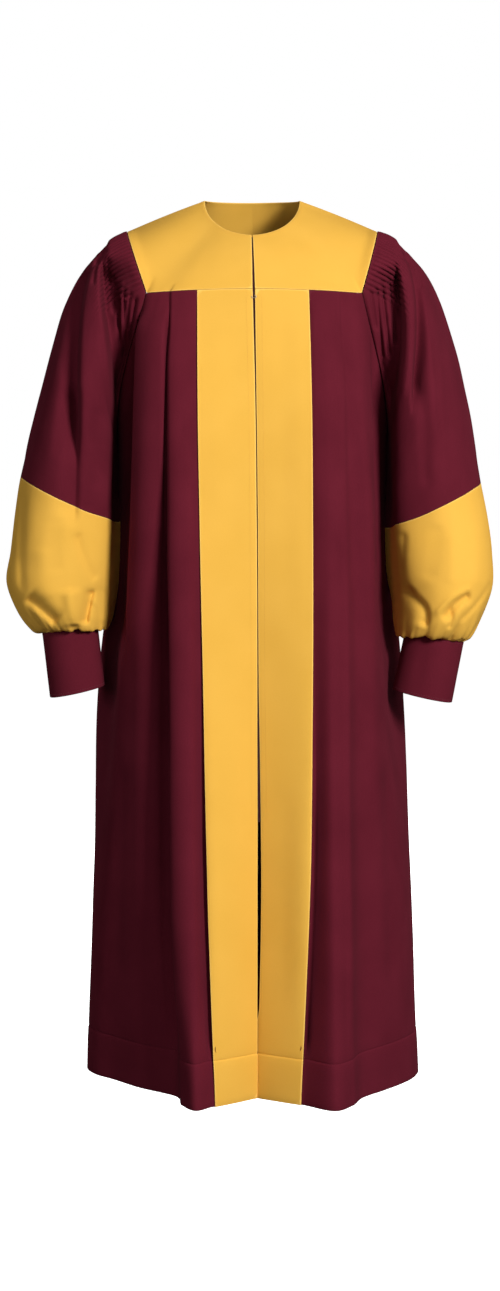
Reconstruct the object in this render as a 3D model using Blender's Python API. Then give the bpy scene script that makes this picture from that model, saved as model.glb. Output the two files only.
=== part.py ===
"""Choir robe, worn and hollow: a zipped front with two gold panels, a gold yoke and bishop sleeves.

Run with blender --background --python part.py, or from the text editor. Metres, +Z up.
The origin lies midway between the two points where the neckline meets the shoulder seams.
+X is the wearer's left and -Y is the front.
"""
import math

import bmesh
import bpy
import numpy as np

MM = 0.001
COLLECTION_NAME = "choir_robe"

# Cloth
CLOTH = 1.2 * MM
CUFF_CLOTH = 2.2 * MM
TAPE_CLOTH = 1.0 * MM
SEAM_GAP = 0.36 * MM
TAPE_CLEARANCE = 0.9 * MM
SHARP_ANGLE = math.radians(50)
TINY = 1e-9

# Heights of the levels at which the fold lines of the body are given, in millimetres
LEVELS = (-126, -272, -438, -645, -918, -1218)
BODY_ROWS = 11

# Fold lines of the body from the front slit round to the side seam, for each side of the robe.
# line, steps to the next line, across (six levels), depth (six levels), in millimetres
RIGHT_FRONT_LINES = (
    ("slit", 3, (0.4, 4.0, 5.9, 6.9, 7.4, 5.8), (-122, -150, -162, -166, -168, -168)),
    ("panel edge", 1, (-74, -73, -70.4, -66, -60, -50.5), (-118, -156, -170, -187, -203, -215)),
    ("tuck", 2, (-78, -77, -74, -69.5, -64, -55), (-117.5, -155, -170, -184, -195, -216)),
    ("ridge", 3, (-91, -90, -87, -84, -81, -75), (-117, -154, -175, -196, -216, -236)),
    ("pleat edge", 1, (-107, -107, -106, -104.5, -102.5, -93.5), (-114, -148, -165, -182, -198, -205)),
    ("pleat foot", 2, (-110.5, -112, -113, -112.5, -111, -101), (-110.5, -136, -135, -138, -145, -160)),
    ("swell", 3, (-126, -135.5, -143, -152, -157, -154.5), (-107, -131, -131, -124, -118, -109)),
    ("yoke corner", 3, (-141.5, -157, -164, -177, -191, -192), (-100, -106, -98, -92, -80, -62)),
    ("arm", 3, (-165, -178, -179, -189, -212, -219), (-62, -56, -46, -42, -35, -30)),
    ("side", 2, (-179, -185, -189, -214, -223, -232), (0, 2, 34, 34, 25, 14)),
)
LEFT_FRONT_LINES = (
    ("slit", 3, (3.6, 6.2, 8.1, 9.1, 11.8, 7.9), (-122, -150, -162, -166, -168, -168)),
    ("panel edge", 1, (76, 79.5, 81, 81, 77.5, 66), (-118, -156, -171, -187, -200, -205)),
    ("tuck", 2, (80, 83.5, 85, 84.5, 81.5, 70.5), (-117.5, -155, -171, -184, -192, -206)),
    ("ridge", 3, (97, 101, 103.5, 104.5, 106, 110), (-116, -154, -173, -193, -214, -238)),
    ("pleat edge", 1, (114, 118, 119.5, 124, 127, 135), (-113, -147, -164, -180, -199, -207)),
    ("pleat foot", 2, (118.5, 125, 130, 136, 140, 148), (-109.5, -137, -148, -155, -163, -170)),
    ("swell", 3, (134, 147, 157, 162, 174, 181), (-105, -128, -131, -127, -124, -124)),
    ("yoke corner", 3, (147, 160, 167, 175, 193, 205), (-99, -106, -100, -95, -90, -88)),
    ("arm", 3, (166, 178, 180, 187, 212, 226), (-62, -56, -48, -45, -45, -46)),
    ("side", 2, (179, 185, 189, 209, 222, 233), (0, 2, 34, 34, 20, 4)),
)
# Fold lines of the back, from the side seam to the centre of the back, for the right side
BACK_LINES = (
    ("arm", 3, (-172, -179, -182, -203, -213, -220), (50, 56, 66, 72, 72, 66)),
    ("yoke corner", 2, (-146, -156, -161, -182, -194, -198), (96, 105, 105, 109, 112, 112)),
    ("first foot", 3, (-124, -131, -135, -147, -158, -163), (102, 112, 109, 106, 106, 99)),
    ("first ridge", 3, (-104, -110, -116, -124, -131, -135), (108, 124, 130, 141, 155, 161)),
    ("second foot", 3, (-78, -82, -84, -88, -92, -93), (108.5, 120, 118, 118, 121, 119)),
    ("second ridge", 3, (-52, -54, -58, -62, -66, -68), (113.5, 131, 138, 150, 166, 174)),
    ("third foot", 3, (-27, -28, -29, -31, -33, -35), (112, 124, 121, 121, 127, 129)),
)
CENTRE_BACK_LINE = ("centre", 3, (2, 3, 3, 4, 5, 6), (115, 132, 137, 145, 159, 168))
# How the left back's fold lines stray from the mirrored right ones: by how many millimetres at the
# hem, how fast that grows down the cloth, and the turns that vary it from line to line
BACK_SWAY = 6
BACK_SWAY_GROWTH = 0.8
BACK_SWAY_START = 0.6
BACK_SWAY_ACROSS_TURN = 2.1
BACK_SWAY_DEPTH_TURN = 1.7

# Yoke and armholes
YOKE_CENTRE_HEIGHT = -126.5 * MM
YOKE_CORNER_DROP = 5 * MM
UNDERARM_HEIGHT = -310 * MM
NECK_HALF_WIDTH = 65 * MM
NECK_FRONT = (-0.2 * MM, -75 * MM, -53 * MM)
NECK_BACK = (0.0, 62 * MM, -2 * MM)
NECK_SHOULDER_HEIGHT = -3 * MM
SLIT_AT_NECK = 1.6 * MM
SHOULDER_POINT = (171.5 * MM, 0.0, -45.5 * MM)
CORNER_SHARE = 0.56
YOKE_ROWS = 5
YOKE_ARM_STEPS = 9
YOKE_SWELL = 7 * MM
YOKE_SWELL_AT_SHOULDER = 0.25
YOKE_SWELL_OUT = 0.75
YOKE_SWELL_UP = 0.66

# Sleeve sections below the armhole: outer and inner point (across, height), then front and back
# depth, all in millimetres. The first row of the gold part is the seam of the maroon part.
RIGHT_SLEEVE_SECTIONS = (
    ("band", -200, -63, -188.5, -330, -110, 104),
    ("crown", -227.5, -97, -189.5, -347, -117, 108),
    ("bicep", -254.5, -150, -190.5, -365, -119, 106),
    ("mid", -272.5, -208, -191, -386, -117, 99),
    ("elbow", -289, -270, -191, -407, -114, 90),
    ("low", -305, -328, -190, -426, -113, 80),
    ("seam", -318, -381, -188.5, -443, -114, 72),
    ("fill", -326.5, -432, -190, -482, -119, 64),
    ("full", -332, -482, -192, -520, -125, 55),
    ("fullest", -337, -526, -194.5, -552, -128, 46),
    ("droop", -322, -561, -197, -578, -122, 34),
    ("under", -300, -587, -203, -589, -106, 6),
    ("gather", -290.0, -592.9, -211.2, -580.9, -95.3, -12.7),
)
LEFT_SLEEVE_SECTIONS = (
    ("band", 201, -62, 188.5, -330, -110, 104),
    ("crown", 228, -94, 189.5, -347, -117, 108),
    ("bicep", 254, -144, 190.5, -365, -119, 106),
    ("mid", 272.5, -200, 191, -388, -117, 99),
    ("elbow", 288.5, -260, 191, -410, -114, 90),
    ("low", 303, -320, 190.5, -431, -113, 80),
    ("seam", 315, -389, 189, -451, -114, 72),
    ("fill", 324.5, -440, 192, -488, -119, 64),
    ("full", 330, -487, 196, -522, -125, 55),
    ("fullest", 330.5, -530, 199, -552, -128, 46),
    ("droop", 316, -572, 198.5, -586, -122, 34),
    ("under", 301, -598, 201, -598, -106, 6),
    ("gather", 292.3, -605.4, 208.8, -590.2, -95.3, -12.7),
)
SEAM_SECTION = 7
FLUTES = 38
FLUTED_SHARE = 0.38
FLUTE_DEPTH = 2.1 * MM
FLUTE_STEPS = 2
PLAIN_STEPS = 18
# Rows of the sleeve by section number, with the share of flute, gather and cuff-gather depth
# section, flute, gather, cuff gather
SLEEVE_ROWS = (
    (0.0, 0.55, 0.0, 0.0),
    (0.35, 1.0, 0.0, 0.0),
    (1.0, 0.95, 0.3, 0.0),
    (1.6, 0.35, 1.0, 0.0),
    (2.3, 0.0, 1.0, 0.0),
    (3.2, 0.0, 0.7, 0.0),
    (4.2, 0.0, 0.35, 0.0),
    (5.2, 0.0, 0.15, 0.0),
    (6.2, 0.0, 0.0, 0.0),
    (7.0, 0.0, 0.0, 0.0),
    (8.0, 0.0, 0.0, 0.1),
    (9.0, 0.0, 0.0, 0.3),
    (10.0, 0.0, 0.0, 0.6),
    (10.8, 0.0, 0.0, 0.9),
    (11.5, 0.0, 0.0, 1.0),
    (12.1, 0.0, 0.0, 0.9),
    (12.6, 0.0, 0.0, 0.6),
    (13.0, 0.0, 0.0, 0.1),
)
DENSE_ROWS = 4
# Shares of the way round over which the flutes and the gathers below them reach and fade out
FLUTE_EDGE = 0.012
GATHER_REACH = 0.30
GATHER_EDGE = 0.08
FLUTE_THICKENING = 0.35
GATHERS = 19
GATHER_DEPTH = 3.0 * MM
CUFF_GATHERS = 24
CUFF_GATHER_DEPTH = 3.2 * MM
CUFF_GATHER_WOBBLE = 0.35
HEAD_CLEARANCE = 0.5 * MM
# How the large folds come and go along the sleeve, in sections
FOLD_FADE = 0.6
PUFF_FOLD_START = 2.5
PUFF_FOLD_END = 1.0
SECTION_PROBE = 0.02
# Large folds of each sleeve: place round the sleeve at the top and at the seam (0 outer, 0.25 front),
# width, depth (a negative one is a ridge), first and last section
RIGHT_SLEEVE_FOLDS = (
    (0.085, 0.110, 0.050, 9.0, 1.0, 7.5),
    (0.150, 0.190, 0.060, -7.0, 1.2, 7.2),
    (0.215, 0.270, 0.045, 8.0, 1.5, 7.2),
    (0.020, 0.030, 0.060, -5.0, 1.0, 6.5),
    (0.930, 0.900, 0.055, 8.0, 1.2, 7.2),
    (0.850, 0.810, 0.055, -6.0, 1.5, 7.0),
    (0.780, 0.730, 0.050, 7.0, 1.5, 7.0),
    (0.060, 0.070, 0.055, -8.0, 7.2, 13.0),
    (0.130, 0.150, 0.045, 9.0, 7.4, 13.0),
    (0.215, 0.215, 0.050, -6.0, 7.4, 13.0),
    (0.285, 0.290, 0.045, 10.0, 7.4, 13.0),
    (0.900, 0.900, 0.050, 8.0, 7.4, 13.0),
    (0.780, 0.780, 0.050, 8.0, 7.4, 13.0),
)
LEFT_SLEEVE_FOLDS = (
    (0.070, 0.080, 0.050, 8.0, 1.0, 7.5),
    (0.125, 0.150, 0.050, -7.0, 1.2, 7.2),
    (0.170, 0.225, 0.045, 9.0, 1.2, 7.2),
    (0.010, 0.020, 0.055, -5.0, 1.0, 6.5),
    (0.935, 0.910, 0.055, 8.0, 1.2, 7.2),
    (0.860, 0.820, 0.055, -6.0, 1.5, 7.0),
    (0.790, 0.740, 0.050, 7.0, 1.5, 7.0),
    (0.050, 0.050, 0.050, 8.0, 7.4, 13.0),
    (0.110, 0.120, 0.050, -7.0, 7.4, 13.0),
    (0.180, 0.185, 0.045, 10.0, 7.4, 13.0),
    (0.260, 0.255, 0.050, -6.0, 7.4, 13.0),
    (0.310, 0.310, 0.045, 9.0, 7.4, 13.0),
    (0.880, 0.880, 0.050, 8.0, 7.4, 13.0),
    (0.760, 0.760, 0.050, 8.0, 7.4, 13.0),
)

# Cuffs: section, outer and inner point (across, height), then front and back depth, in millimetres
RIGHT_CUFF_SECTIONS = (
    ("top", -287.8, -592, -213.6, -580, -93, -15),
    ("wrist", -276.8, -682, -204, -666, -102, -26),
)
LEFT_CUFF_SECTIONS = (
    ("top", 290.2, -604.5, 211.7, -589.5, -93, -15),
    ("wrist", 273.6, -689, 193.7, -671, -102, -26),
)
CUFF_STEPS = 28
CUFF_ROWS = 4

# Zip tape and hook
ZIP_END_LEVEL = -845 * MM
TAPE_SIDE = 10 * MM
TAPE_POINTS = 4
HOOK_HEIGHT = -137 * MM
HOOK_REACH = 3.2 * MM
HOOK_RISE = 1.6 * MM
HOOK_WIRE = 0.45 * MM
HOOK_POINTS = 10
HOOK_START_ANGLE = 0.5 * math.pi
HOOK_END_ANGLE = 2.15 * math.pi

# Colours, red, green and blue in linear light, then roughness
MAROON = ((0.120, 0.014, 0.026), 0.55)
GOLD = ((0.810, 0.420, 0.070), 0.50)
CUFF_MAROON = ((0.100, 0.012, 0.020), 0.55)
ZIP_MAROON = ((0.050, 0.008, 0.013), 0.60)
HOOK_METAL = ((0.600, 0.560, 0.520), 0.35)


def clear_scene():
    """Remove every object the scene starts with."""
    for existing in list(bpy.data.objects):
        bpy.data.objects.remove(existing, do_unlink=True)


def smooth(knots, values, places):
    """Read a smooth curve through the values at the knots, at the given places."""
    knots = np.asarray(knots, float)
    values = np.asarray(values, float)
    places = np.clip(np.asarray(places, float), knots[0], knots[-1])
    column = (-1,) + (1,) * (values.ndim - 1)
    step = np.diff(knots)
    slope = np.diff(values, axis=0) / step.reshape(column)
    before = step[:-1].reshape(column)
    after = step[1:].reshape(column)
    tangent = np.empty_like(values)
    tangent[0] = slope[0]
    tangent[-1] = slope[-1]
    tangent[1:-1] = (slope[:-1] * after + slope[1:] * before) / (before + after)
    first = np.clip(np.searchsorted(knots, places, side="right") - 1, 0, len(step) - 1)
    part = ((places - knots[first]) / step[first]).reshape(column)
    length = step[first].reshape(column)
    rest = 1 - part
    ends = values[first] * (1 + 2 * part) * rest**2 + values[first + 1] * (3 - 2 * part) * part**2
    bends = tangent[first] * part * rest**2 - tangent[first + 1] * part**2 * rest
    return ends + length * bends


def unit(vectors):
    """Scale each vector to length one."""
    return vectors / np.maximum(np.linalg.norm(vectors, axis=-1, keepdims=True), TINY)


def grid_normals(points, closed):
    """Normals of a grid of points, rows down the first axis and columns round the second."""
    down = np.gradient(points, axis=0)
    if closed:
        along = np.roll(points, -1, axis=1) - np.roll(points, 1, axis=1)
    else:
        along = np.gradient(points, axis=1)
    return unit(np.cross(along, down))


def draw_in(points, top=0.0, bottom=0.0, start=0.0, end=0.0):
    """Pull a grid's edges in along the cloth by the given distances, to leave a seam's gap."""
    drawn = points.copy()
    drawn[0] += unit(points[1] - points[0]) * top
    drawn[-1] += unit(points[-2] - points[-1]) * bottom
    drawn[:, 0] += unit(points[:, 1] - points[:, 0]) * start
    drawn[:, -1] += unit(points[:, -2] - points[:, -1]) * end
    return drawn


def facing(places_a, places_b, closed):
    """Faces between two rows, as (row, number) corners: quads, or triangles where counts differ."""
    count_a = len(places_a)
    count_b = len(places_b)
    last = 0 if closed else 1
    if count_a == count_b:
        for i in range(count_a - last):
            j = (i + 1) % count_a
            yield ((0, i), (0, j), (1, j), (1, i))
        return
    i = 0
    j = 0
    while i < count_a - last or j < count_b - last:
        next_a = places_a[i + 1] if i + 1 < count_a else 1.0 + (i + 1 > count_a)
        next_b = places_b[j + 1] if j + 1 < count_b else 1.0 + (j + 1 > count_b)
        step_a = j >= count_b - last or (i < count_a - last and next_a <= next_b + TINY)
        if step_a:
            yield ((0, i % count_a), (0, (i + 1) % count_a), (1, j % count_b))
            i += 1
        else:
            yield ((0, i % count_a), (1, (j + 1) % count_b), (1, j % count_b))
            j += 1


def cloth_wall(name, rows, closed, turned=False):
    """Loft a wall of cloth through rows of (places, points, normals, thickness).

    The outer and inner faces run through the rows, and the rims close them at each free edge.
    """
    mesh_builder = bmesh.new()
    layers = []
    for sign in (0.5, -0.5):
        layer = []
        for places, points, normals, thickness in rows:
            moved = points + normals * (np.asarray(thickness) * sign)[..., None]
            layer.append([mesh_builder.verts.new(p) for p in moved])
        layers.append(layer)
    outer, inner = layers
    for k in range(len(rows) - 1):
        for corners in facing(rows[k][0], rows[k + 1][0], closed):
            ring = [outer[k + row][i] for row, i in corners]
            back = [inner[k + row][i] for row, i in reversed(corners)]
            mesh_builder.faces.new(reversed(ring) if turned else ring)
            mesh_builder.faces.new(reversed(back) if turned else back)
    rims = [(outer[0][::-1], inner[0][::-1]), (outer[-1], inner[-1])]
    if not closed:
        rims.append(([r[0] for r in outer], [r[0] for r in inner]))
        rims.append(([r[-1] for r in reversed(outer)], [r[-1] for r in reversed(inner)]))
    for number, (near, far) in enumerate(rims):
        wraps = closed and number < 2
        for i in range(len(near) - (0 if wraps else 1)):
            j = (i + 1) % len(near)
            corners = (near[j], far[j], far[i], near[i])
            mesh_builder.faces.new(corners[::-1] if turned else corners)
    bmesh.ops.triangulate(mesh_builder, faces=mesh_builder.faces)
    mesh = bpy.data.meshes.new(name)
    mesh_builder.to_mesh(mesh)
    mesh_builder.free()
    mesh.shade_smooth()
    mesh.set_sharp_from_angle(angle=SHARP_ANGLE)
    return bpy.data.objects.new(name, mesh)


def plain_rows(points, normals, thickness):
    """Rows for cloth_wall from a grid of points and normals with one thickness."""
    places = np.linspace(0, 1, points.shape[1])
    full = np.full(points.shape[1], thickness)
    return [(places, p, n, full) for p, n in zip(points, normals)]


def body_lines():
    """All fold lines in order: right front, back, and left front back to the slit."""
    lines = list(RIGHT_FRONT_LINES) + list(BACK_LINES) + [CENTRE_BACK_LINE]
    fall = np.linspace(0, 1, len(LEVELS)) ** BACK_SWAY_GROWTH
    mirrored = []
    for number, (name, steps, across, depth) in enumerate(BACK_LINES):
        drift = BACK_SWAY * math.sin(BACK_SWAY_ACROSS_TURN * number + BACK_SWAY_START) * fall
        swell = BACK_SWAY * math.cos(BACK_SWAY_DEPTH_TURN * number) * fall
        mirrored.append((name, steps, drift - np.asarray(across), np.asarray(depth) + swell))
    lines += mirrored[::-1]
    lines += list(LEFT_FRONT_LINES)[::-1]
    return lines


def line_steps():
    """Number of steps between each fold line and the next, all round the body."""
    right = [line[1] for line in RIGHT_FRONT_LINES]
    back = [line[1] for line in BACK_LINES]
    left = [line[1] for line in LEFT_FRONT_LINES]
    return right + back + [CENTRE_BACK_LINE[1]] + back[-2::-1] + [left[-1]] + left[-2::-1]


class Body:
    """The cloth of the body as one grid, from the slit's right edge round to its left edge."""

    def __init__(self):
        lines = body_lines()
        self.names = [line[0] for line in lines]
        control = np.array([np.column_stack((line[2], line[3])) for line in lines]) * MM
        chords = np.sqrt(np.linalg.norm(np.diff(control, axis=0), axis=2)).mean(axis=1)
        knots = np.concatenate(([0.0], np.cumsum(chords)))
        places = []
        self.column_of_line = []
        for i, steps in enumerate(line_steps()[:len(lines) - 1]):
            self.column_of_line.append(len(places))
            places += list(knots[i] + (knots[i + 1] - knots[i]) * np.arange(steps) / steps)
        self.column_of_line.append(len(places))
        places.append(knots[-1])
        levels = smooth(knots, control, places)
        count = len(self.names)
        self.corners = [i for i in range(count) if self.names[i] == "yoke corner"]
        self.sides = [i for i in range(count) if self.names[i] == "side"]
        top = self.top_heights(levels, places, knots)
        depths = -np.asarray(LEVELS) * MM
        share = np.linspace(0, 1, BODY_ROWS)
        points = np.empty((BODY_ROWS, len(places), 3))
        for column in range(len(places)):
            heights = top[column] + (LEVELS[-1] * MM - top[column]) * share
            points[:, column, :2] = smooth(depths, levels[column], -heights)
            points[:, column, 2] = heights
        self.points = points
        self.normals = grid_normals(points, closed=False)

    def top_heights(self, levels, places, knots):
        """Height of the top edge at each column: the yoke's seam, or the armhole between corners."""
        half = abs(levels[self.column_of_line[self.corners[0]], 0, 0])
        across = np.abs(levels[:, 0, 0]) / half
        top = YOKE_CENTRE_HEIGHT - YOKE_CORNER_DROP * np.minimum(across, 1) ** 2
        corner_height = YOKE_CENTRE_HEIGHT - YOKE_CORNER_DROP
        for front, side, back in zip(self.corners[0::2], self.sides, self.corners[1::2]):
            for i in range(self.column_of_line[front], self.column_of_line[back] + 1):
                edge = front if places[i] <= knots[side] else back
                part = (places[i] - knots[edge]) / (knots[side] - knots[edge])
                drop = math.sin(part * math.pi / 2)
                top[i] = corner_height + (UNDERARM_HEIGHT - corner_height) * drop
        return top

    def columns(self, first, last):
        """Column numbers from one fold line to another, both included."""
        return slice(self.column_of_line[first], self.column_of_line[last] + 1)


def quarter(start, end, steps):
    """Points on a quarter of an ellipse that leaves start upwards and meets end level."""
    turn = np.linspace(0, math.pi / 2, steps + 1)
    start = np.asarray(start)
    end = np.asarray(end)
    points = start + (end - start) * np.sin(turn)[:, None]
    points[:, 1] = end[1] + (start[1] - end[1]) * np.cos(turn)
    return points


def yoke_quarter(lower, side, neck_middle, neck_gap, front):
    """Grid of one quarter of the yoke: from the centre line to the shoulder seam, neck to edge.

    lower holds the points of the body's top edge from the centre to the yoke's corner.
    """
    shoulder = np.array((side * SHOULDER_POINT[0], SHOULDER_POINT[1], SHOULDER_POINT[2]))
    arm = quarter(lower[-1], shoulder, YOKE_ARM_STEPS)
    edge = np.concatenate((lower, arm[1:]))
    reach = np.abs(lower[:, 0] - lower[0, 0]) / abs(lower[-1, 0] - lower[0, 0])
    beyond = np.linspace(0, 1, YOKE_ARM_STEPS + 1)[1:]
    turn = np.concatenate((CORNER_SHARE * reach, CORNER_SHARE + (1 - CORNER_SHARE) * beyond)) * math.pi / 2
    middle = np.asarray(neck_middle)
    neck = np.empty_like(edge)
    neck_side = side * NECK_HALF_WIDTH
    neck_start = middle[0] + side * neck_gap / 2
    neck[:, 0] = neck_start + (neck_side - neck_start) * np.sin(turn)
    neck[:, 1] = middle[1] * np.cos(turn)
    neck[:, 2] = middle[2] + (NECK_SHOULDER_HEIGHT - middle[2]) * (1 - np.cos(turn))
    share = np.linspace(0, 1, YOKE_ROWS)[:, None, None]
    points = neck + (edge - neck) * share
    height = YOKE_SWELL_AT_SHOULDER + (1 - YOKE_SWELL_AT_SHOULDER) * np.cos(turn)
    swell = YOKE_SWELL * height[:, None] * 4 * share * (1 - share)
    outward = np.array((0.0, -YOKE_SWELL_OUT if front else YOKE_SWELL_OUT, YOKE_SWELL_UP))
    return points + swell * outward


def share_normals(first, second):
    """Give two meeting edges the same normals."""
    mean = unit(first + second)
    first[...] = mean
    second[...] = mean


def yoke_grids(body):
    """Grids of points and normals of the right front, left front and back of the yoke."""
    top = body.points[0]
    corners = [body.column_of_line[i] for i in body.corners]
    centre = body.column_of_line[body.names.index("centre")]
    last = body.points.shape[1] - 1
    right_front = yoke_quarter(top[:corners[0] + 1], -1, NECK_FRONT, SLIT_AT_NECK, True)
    left_front = yoke_quarter(top[:corners[3] - 1:-1], 1, NECK_FRONT, SLIT_AT_NECK, True)
    right_back = yoke_quarter(top[centre:corners[1] - 1:-1], -1, NECK_BACK, 0.0, False)
    left_back = yoke_quarter(top[centre:corners[2] + 1], 1, NECK_BACK, 0.0, False)
    back = np.concatenate((right_back[:, ::-1], left_back[:, 1:]), axis=1)
    left_front = left_front[:, ::-1]
    grids = []
    for points in (right_front, left_front, back):
        grids.append((points, grid_normals(points, closed=False)))
    right_normals, left_normals, back_normals = (grid[1] for grid in grids)
    share_normals(right_normals[:, -1], back_normals[:, 0])
    share_normals(left_normals[:, 0], back_normals[:, -1])
    share_normals(right_normals[-1, :corners[0] + 1], body.normals[0, :corners[0] + 1])
    share_normals(left_normals[-1, YOKE_ARM_STEPS:], body.normals[0, corners[3]:last + 1])
    flat = slice(YOKE_ARM_STEPS, YOKE_ARM_STEPS + corners[2] - corners[1] + 1)
    share_normals(back_normals[-1, flat], body.normals[0, corners[1]:corners[2] + 1])
    return grids


def armhole(body, yokes, side):
    """Closed loop of the armhole's edge, from the shoulder down the front and up the back."""
    corners = [body.column_of_line[i] for i in body.corners]
    right_front, left_front, back = (grid[0][-1] for grid in yokes)
    if side < 0:
        front_edge = right_front[corners[0]:][::-1]
        under = body.points[0, corners[0] + 1:corners[1]]
        back_edge = back[:YOKE_ARM_STEPS + 1][::-1]
    else:
        front_edge = left_front[:YOKE_ARM_STEPS + 1]
        under = body.points[0, corners[2] + 1:corners[3]][::-1]
        back_edge = back[-YOKE_ARM_STEPS - 1:]
    return np.concatenate((front_edge, under, back_edge[:-1]))


def read_loop(loop, places):
    """Points along a closed loop by share of its length."""
    ring = np.concatenate((loop, loop[:1]))
    lengths = np.concatenate(([0.0], np.cumsum(np.linalg.norm(np.diff(ring, axis=0), axis=1))))
    wanted = np.asarray(places) * lengths[-1]
    return np.column_stack([np.interp(wanted, lengths, ring[:, axis]) for axis in range(3)])


def oval(section, places):
    """Points round an oval section of a sleeve: 0 is the outer point and 0.25 the front."""
    outer = np.array((section[1], section[2])) * MM
    inner = np.array((section[3], section[4])) * MM
    front, back = section[5] * MM, section[6] * MM
    turn = np.asarray(places) * 2 * math.pi
    middle = (outer + inner) / 2
    reach = (outer - inner) / 2
    points = np.empty((len(turn), 3))
    points[:, 0] = middle[0] + reach[0] * np.cos(turn)
    points[:, 2] = middle[1] + reach[1] * np.cos(turn)
    points[:, 1] = (front + back) / 2 + (front - back) / 2 * np.sin(turn)
    return points


def sleeve_places(dense):
    """Places of the columns round a sleeve, with one column for each side of a flute where dense."""
    steps = FLUTES * FLUTE_STEPS if dense else FLUTES
    half = FLUTED_SHARE / 2
    fluted = np.linspace(-half, half, steps + 1)
    plain = np.linspace(half, 1 - half, PLAIN_STEPS + 1)[1:-1]
    places = np.concatenate((fluted, plain))
    return np.sort(np.mod(places + TINY, 1.0))


def around(places, middle):
    """Signed distance round the sleeve from a place, as a share of the way round."""
    return np.mod(np.asarray(places) - middle + 0.5, 1.0) - 0.5


def fold_depth(places, section, folds):
    """Depth of the large folds at places round a sleeve, at one section number."""
    depth = np.zeros(len(places))
    for top, foot, width, fold, first, last in folds:
        if not first < section < last + 1:
            continue
        part = (section - first) / (last - first)
        middle = top + (foot - top) * min(part, 1.0)
        if last < len(RIGHT_SLEEVE_SECTIONS):
            fade = math.sin(math.pi * min(part, 1.0)) ** FOLD_FADE
        else:
            fade = min(1.0, PUFF_FOLD_START * part) * min(1.0, max(0.0, last - section) / PUFF_FOLD_END)
        depth += fold * MM * fade * np.exp(-(around(places, middle) / (width / 2)) ** 2)
    return depth


def ring_normals(ring, down, turned):
    """Normals of a closed ring of points, given the direction down the sleeve at each."""
    along = np.roll(ring, -1, axis=0) - np.roll(ring, 1, axis=0)
    return unit(np.cross(down, along) if turned else np.cross(along, down))


def plain_ring(rings, section):
    """Ring of points at a section number, read smoothly between the rings of the sections."""
    hops = np.linalg.norm(np.diff(rings, axis=0), axis=2).mean(axis=1)
    knots = np.concatenate(([0.0], np.cumsum(hops)))
    place = np.interp(section, np.arange(len(knots)), knots)
    return smooth(knots, rings, np.array([place]))[0]


def folded_ring(rings, section, places, folds, turned):
    """Ring with the sleeve's large folds pressed in, and its normals, at a section number."""
    shifts = (-SECTION_PROBE, 0.0, SECTION_PROBE)
    plain = [plain_ring(rings, section + shift) for shift in shifts]
    outward = ring_normals(plain[1], plain[2] - plain[0], turned)
    shaped = []
    for ring, shift in zip(plain, shifts):
        shaped.append(ring - outward * fold_depth(places, section + shift, folds)[:, None])
    return shaped[1], ring_normals(shaped[1], shaped[2] - shaped[0], turned)


def fluted(places):
    """One where the sleeve's head is fluted, fading to zero outside it."""
    edge = FLUTED_SHARE / 2 + FLUTE_EDGE
    return np.clip((edge - np.abs(around(places, 0.0))) / FLUTE_EDGE, 0.0, 1.0)


def ripples(places, section, flute, gather, cuff_gather):
    """Rise of the flutes and of both rows of gathers at places round the sleeve."""
    spot = around(places, 0.0)
    turn = 2 * math.pi * spot / FLUTED_SHARE
    gathered = np.clip((GATHER_REACH - np.abs(spot)) / GATHER_EDGE, 0.0, 1.0)
    wobble = CUFF_GATHER_WOBBLE * np.sin(6 * math.pi * places + section)
    rise = flute * FLUTE_DEPTH * np.cos(FLUTES * turn) * fluted(places)
    rise += gather * GATHER_DEPTH * np.cos(GATHERS * turn) * gathered
    return rise + cuff_gather * CUFF_GATHER_DEPTH * np.cos(2 * math.pi * CUFF_GATHERS * places + wobble)


def sleeve_rows(sections, folds, loop, side):
    """Rows of a whole sleeve from armhole to cuff, for cloth_wall."""
    rows = []
    for number, (section, flute, gather, cuff_gather) in enumerate(SLEEVE_ROWS):
        places = sleeve_places(number < DENSE_ROWS)
        head = read_loop(loop, places)
        head[:, 0] += side * armhole_clearance(places)
        rings = np.array([head] + [oval(row, places) for row in sections])
        ring, outward = folded_ring(rings, section, places, folds, side < 0)
        rise = ripples(places, section, flute, gather, cuff_gather)
        thickness = CLOTH * (1 + FLUTE_THICKENING * flute * fluted(places))
        rows.append((places, ring + outward * rise[:, None], outward, thickness))
    return rows


def armhole_clearance(places):
    """Distance of the sleeve's head from the armhole's edge, which grows under the arm."""
    under = (1 - np.cos(np.asarray(places) * 2 * math.pi)) / 2
    return HEAD_CLEARANCE + under * (CLOTH + SEAM_GAP)


def split_rows(rows, seam):
    """Part a sleeve's rows at its seam, drawing both edges back by half the seam's gap."""
    places, points, normals, thickness = rows[seam]
    above = points + unit(rows[seam - 1][1] - points) * SEAM_GAP / 2
    below = points + unit(rows[seam + 1][1] - points) * SEAM_GAP / 2
    upper = rows[:seam] + [(places, above, normals, thickness)]
    lower = [(places, below, normals, thickness)] + rows[seam + 1:]
    return upper, lower


def cuff_rows(sections, side):
    """Rows of a cuff, an oval band that tapers to the wrist."""
    places = np.arange(CUFF_STEPS) / CUFF_STEPS
    top, wrist = (oval(row, places) for row in sections)
    share = np.linspace(0, 1, CUFF_ROWS)[:, None, None]
    points = top + (wrist - top) * share
    down = np.broadcast_to(wrist - top, points.shape)
    along = np.roll(points, -1, axis=1) - np.roll(points, 1, axis=1)
    normals = unit(np.cross(down, along) if side < 0 else np.cross(along, down))
    full = np.full(CUFF_STEPS, CUFF_CLOTH)
    return [(places, p, n, full) for p, n in zip(points, normals)]


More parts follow.
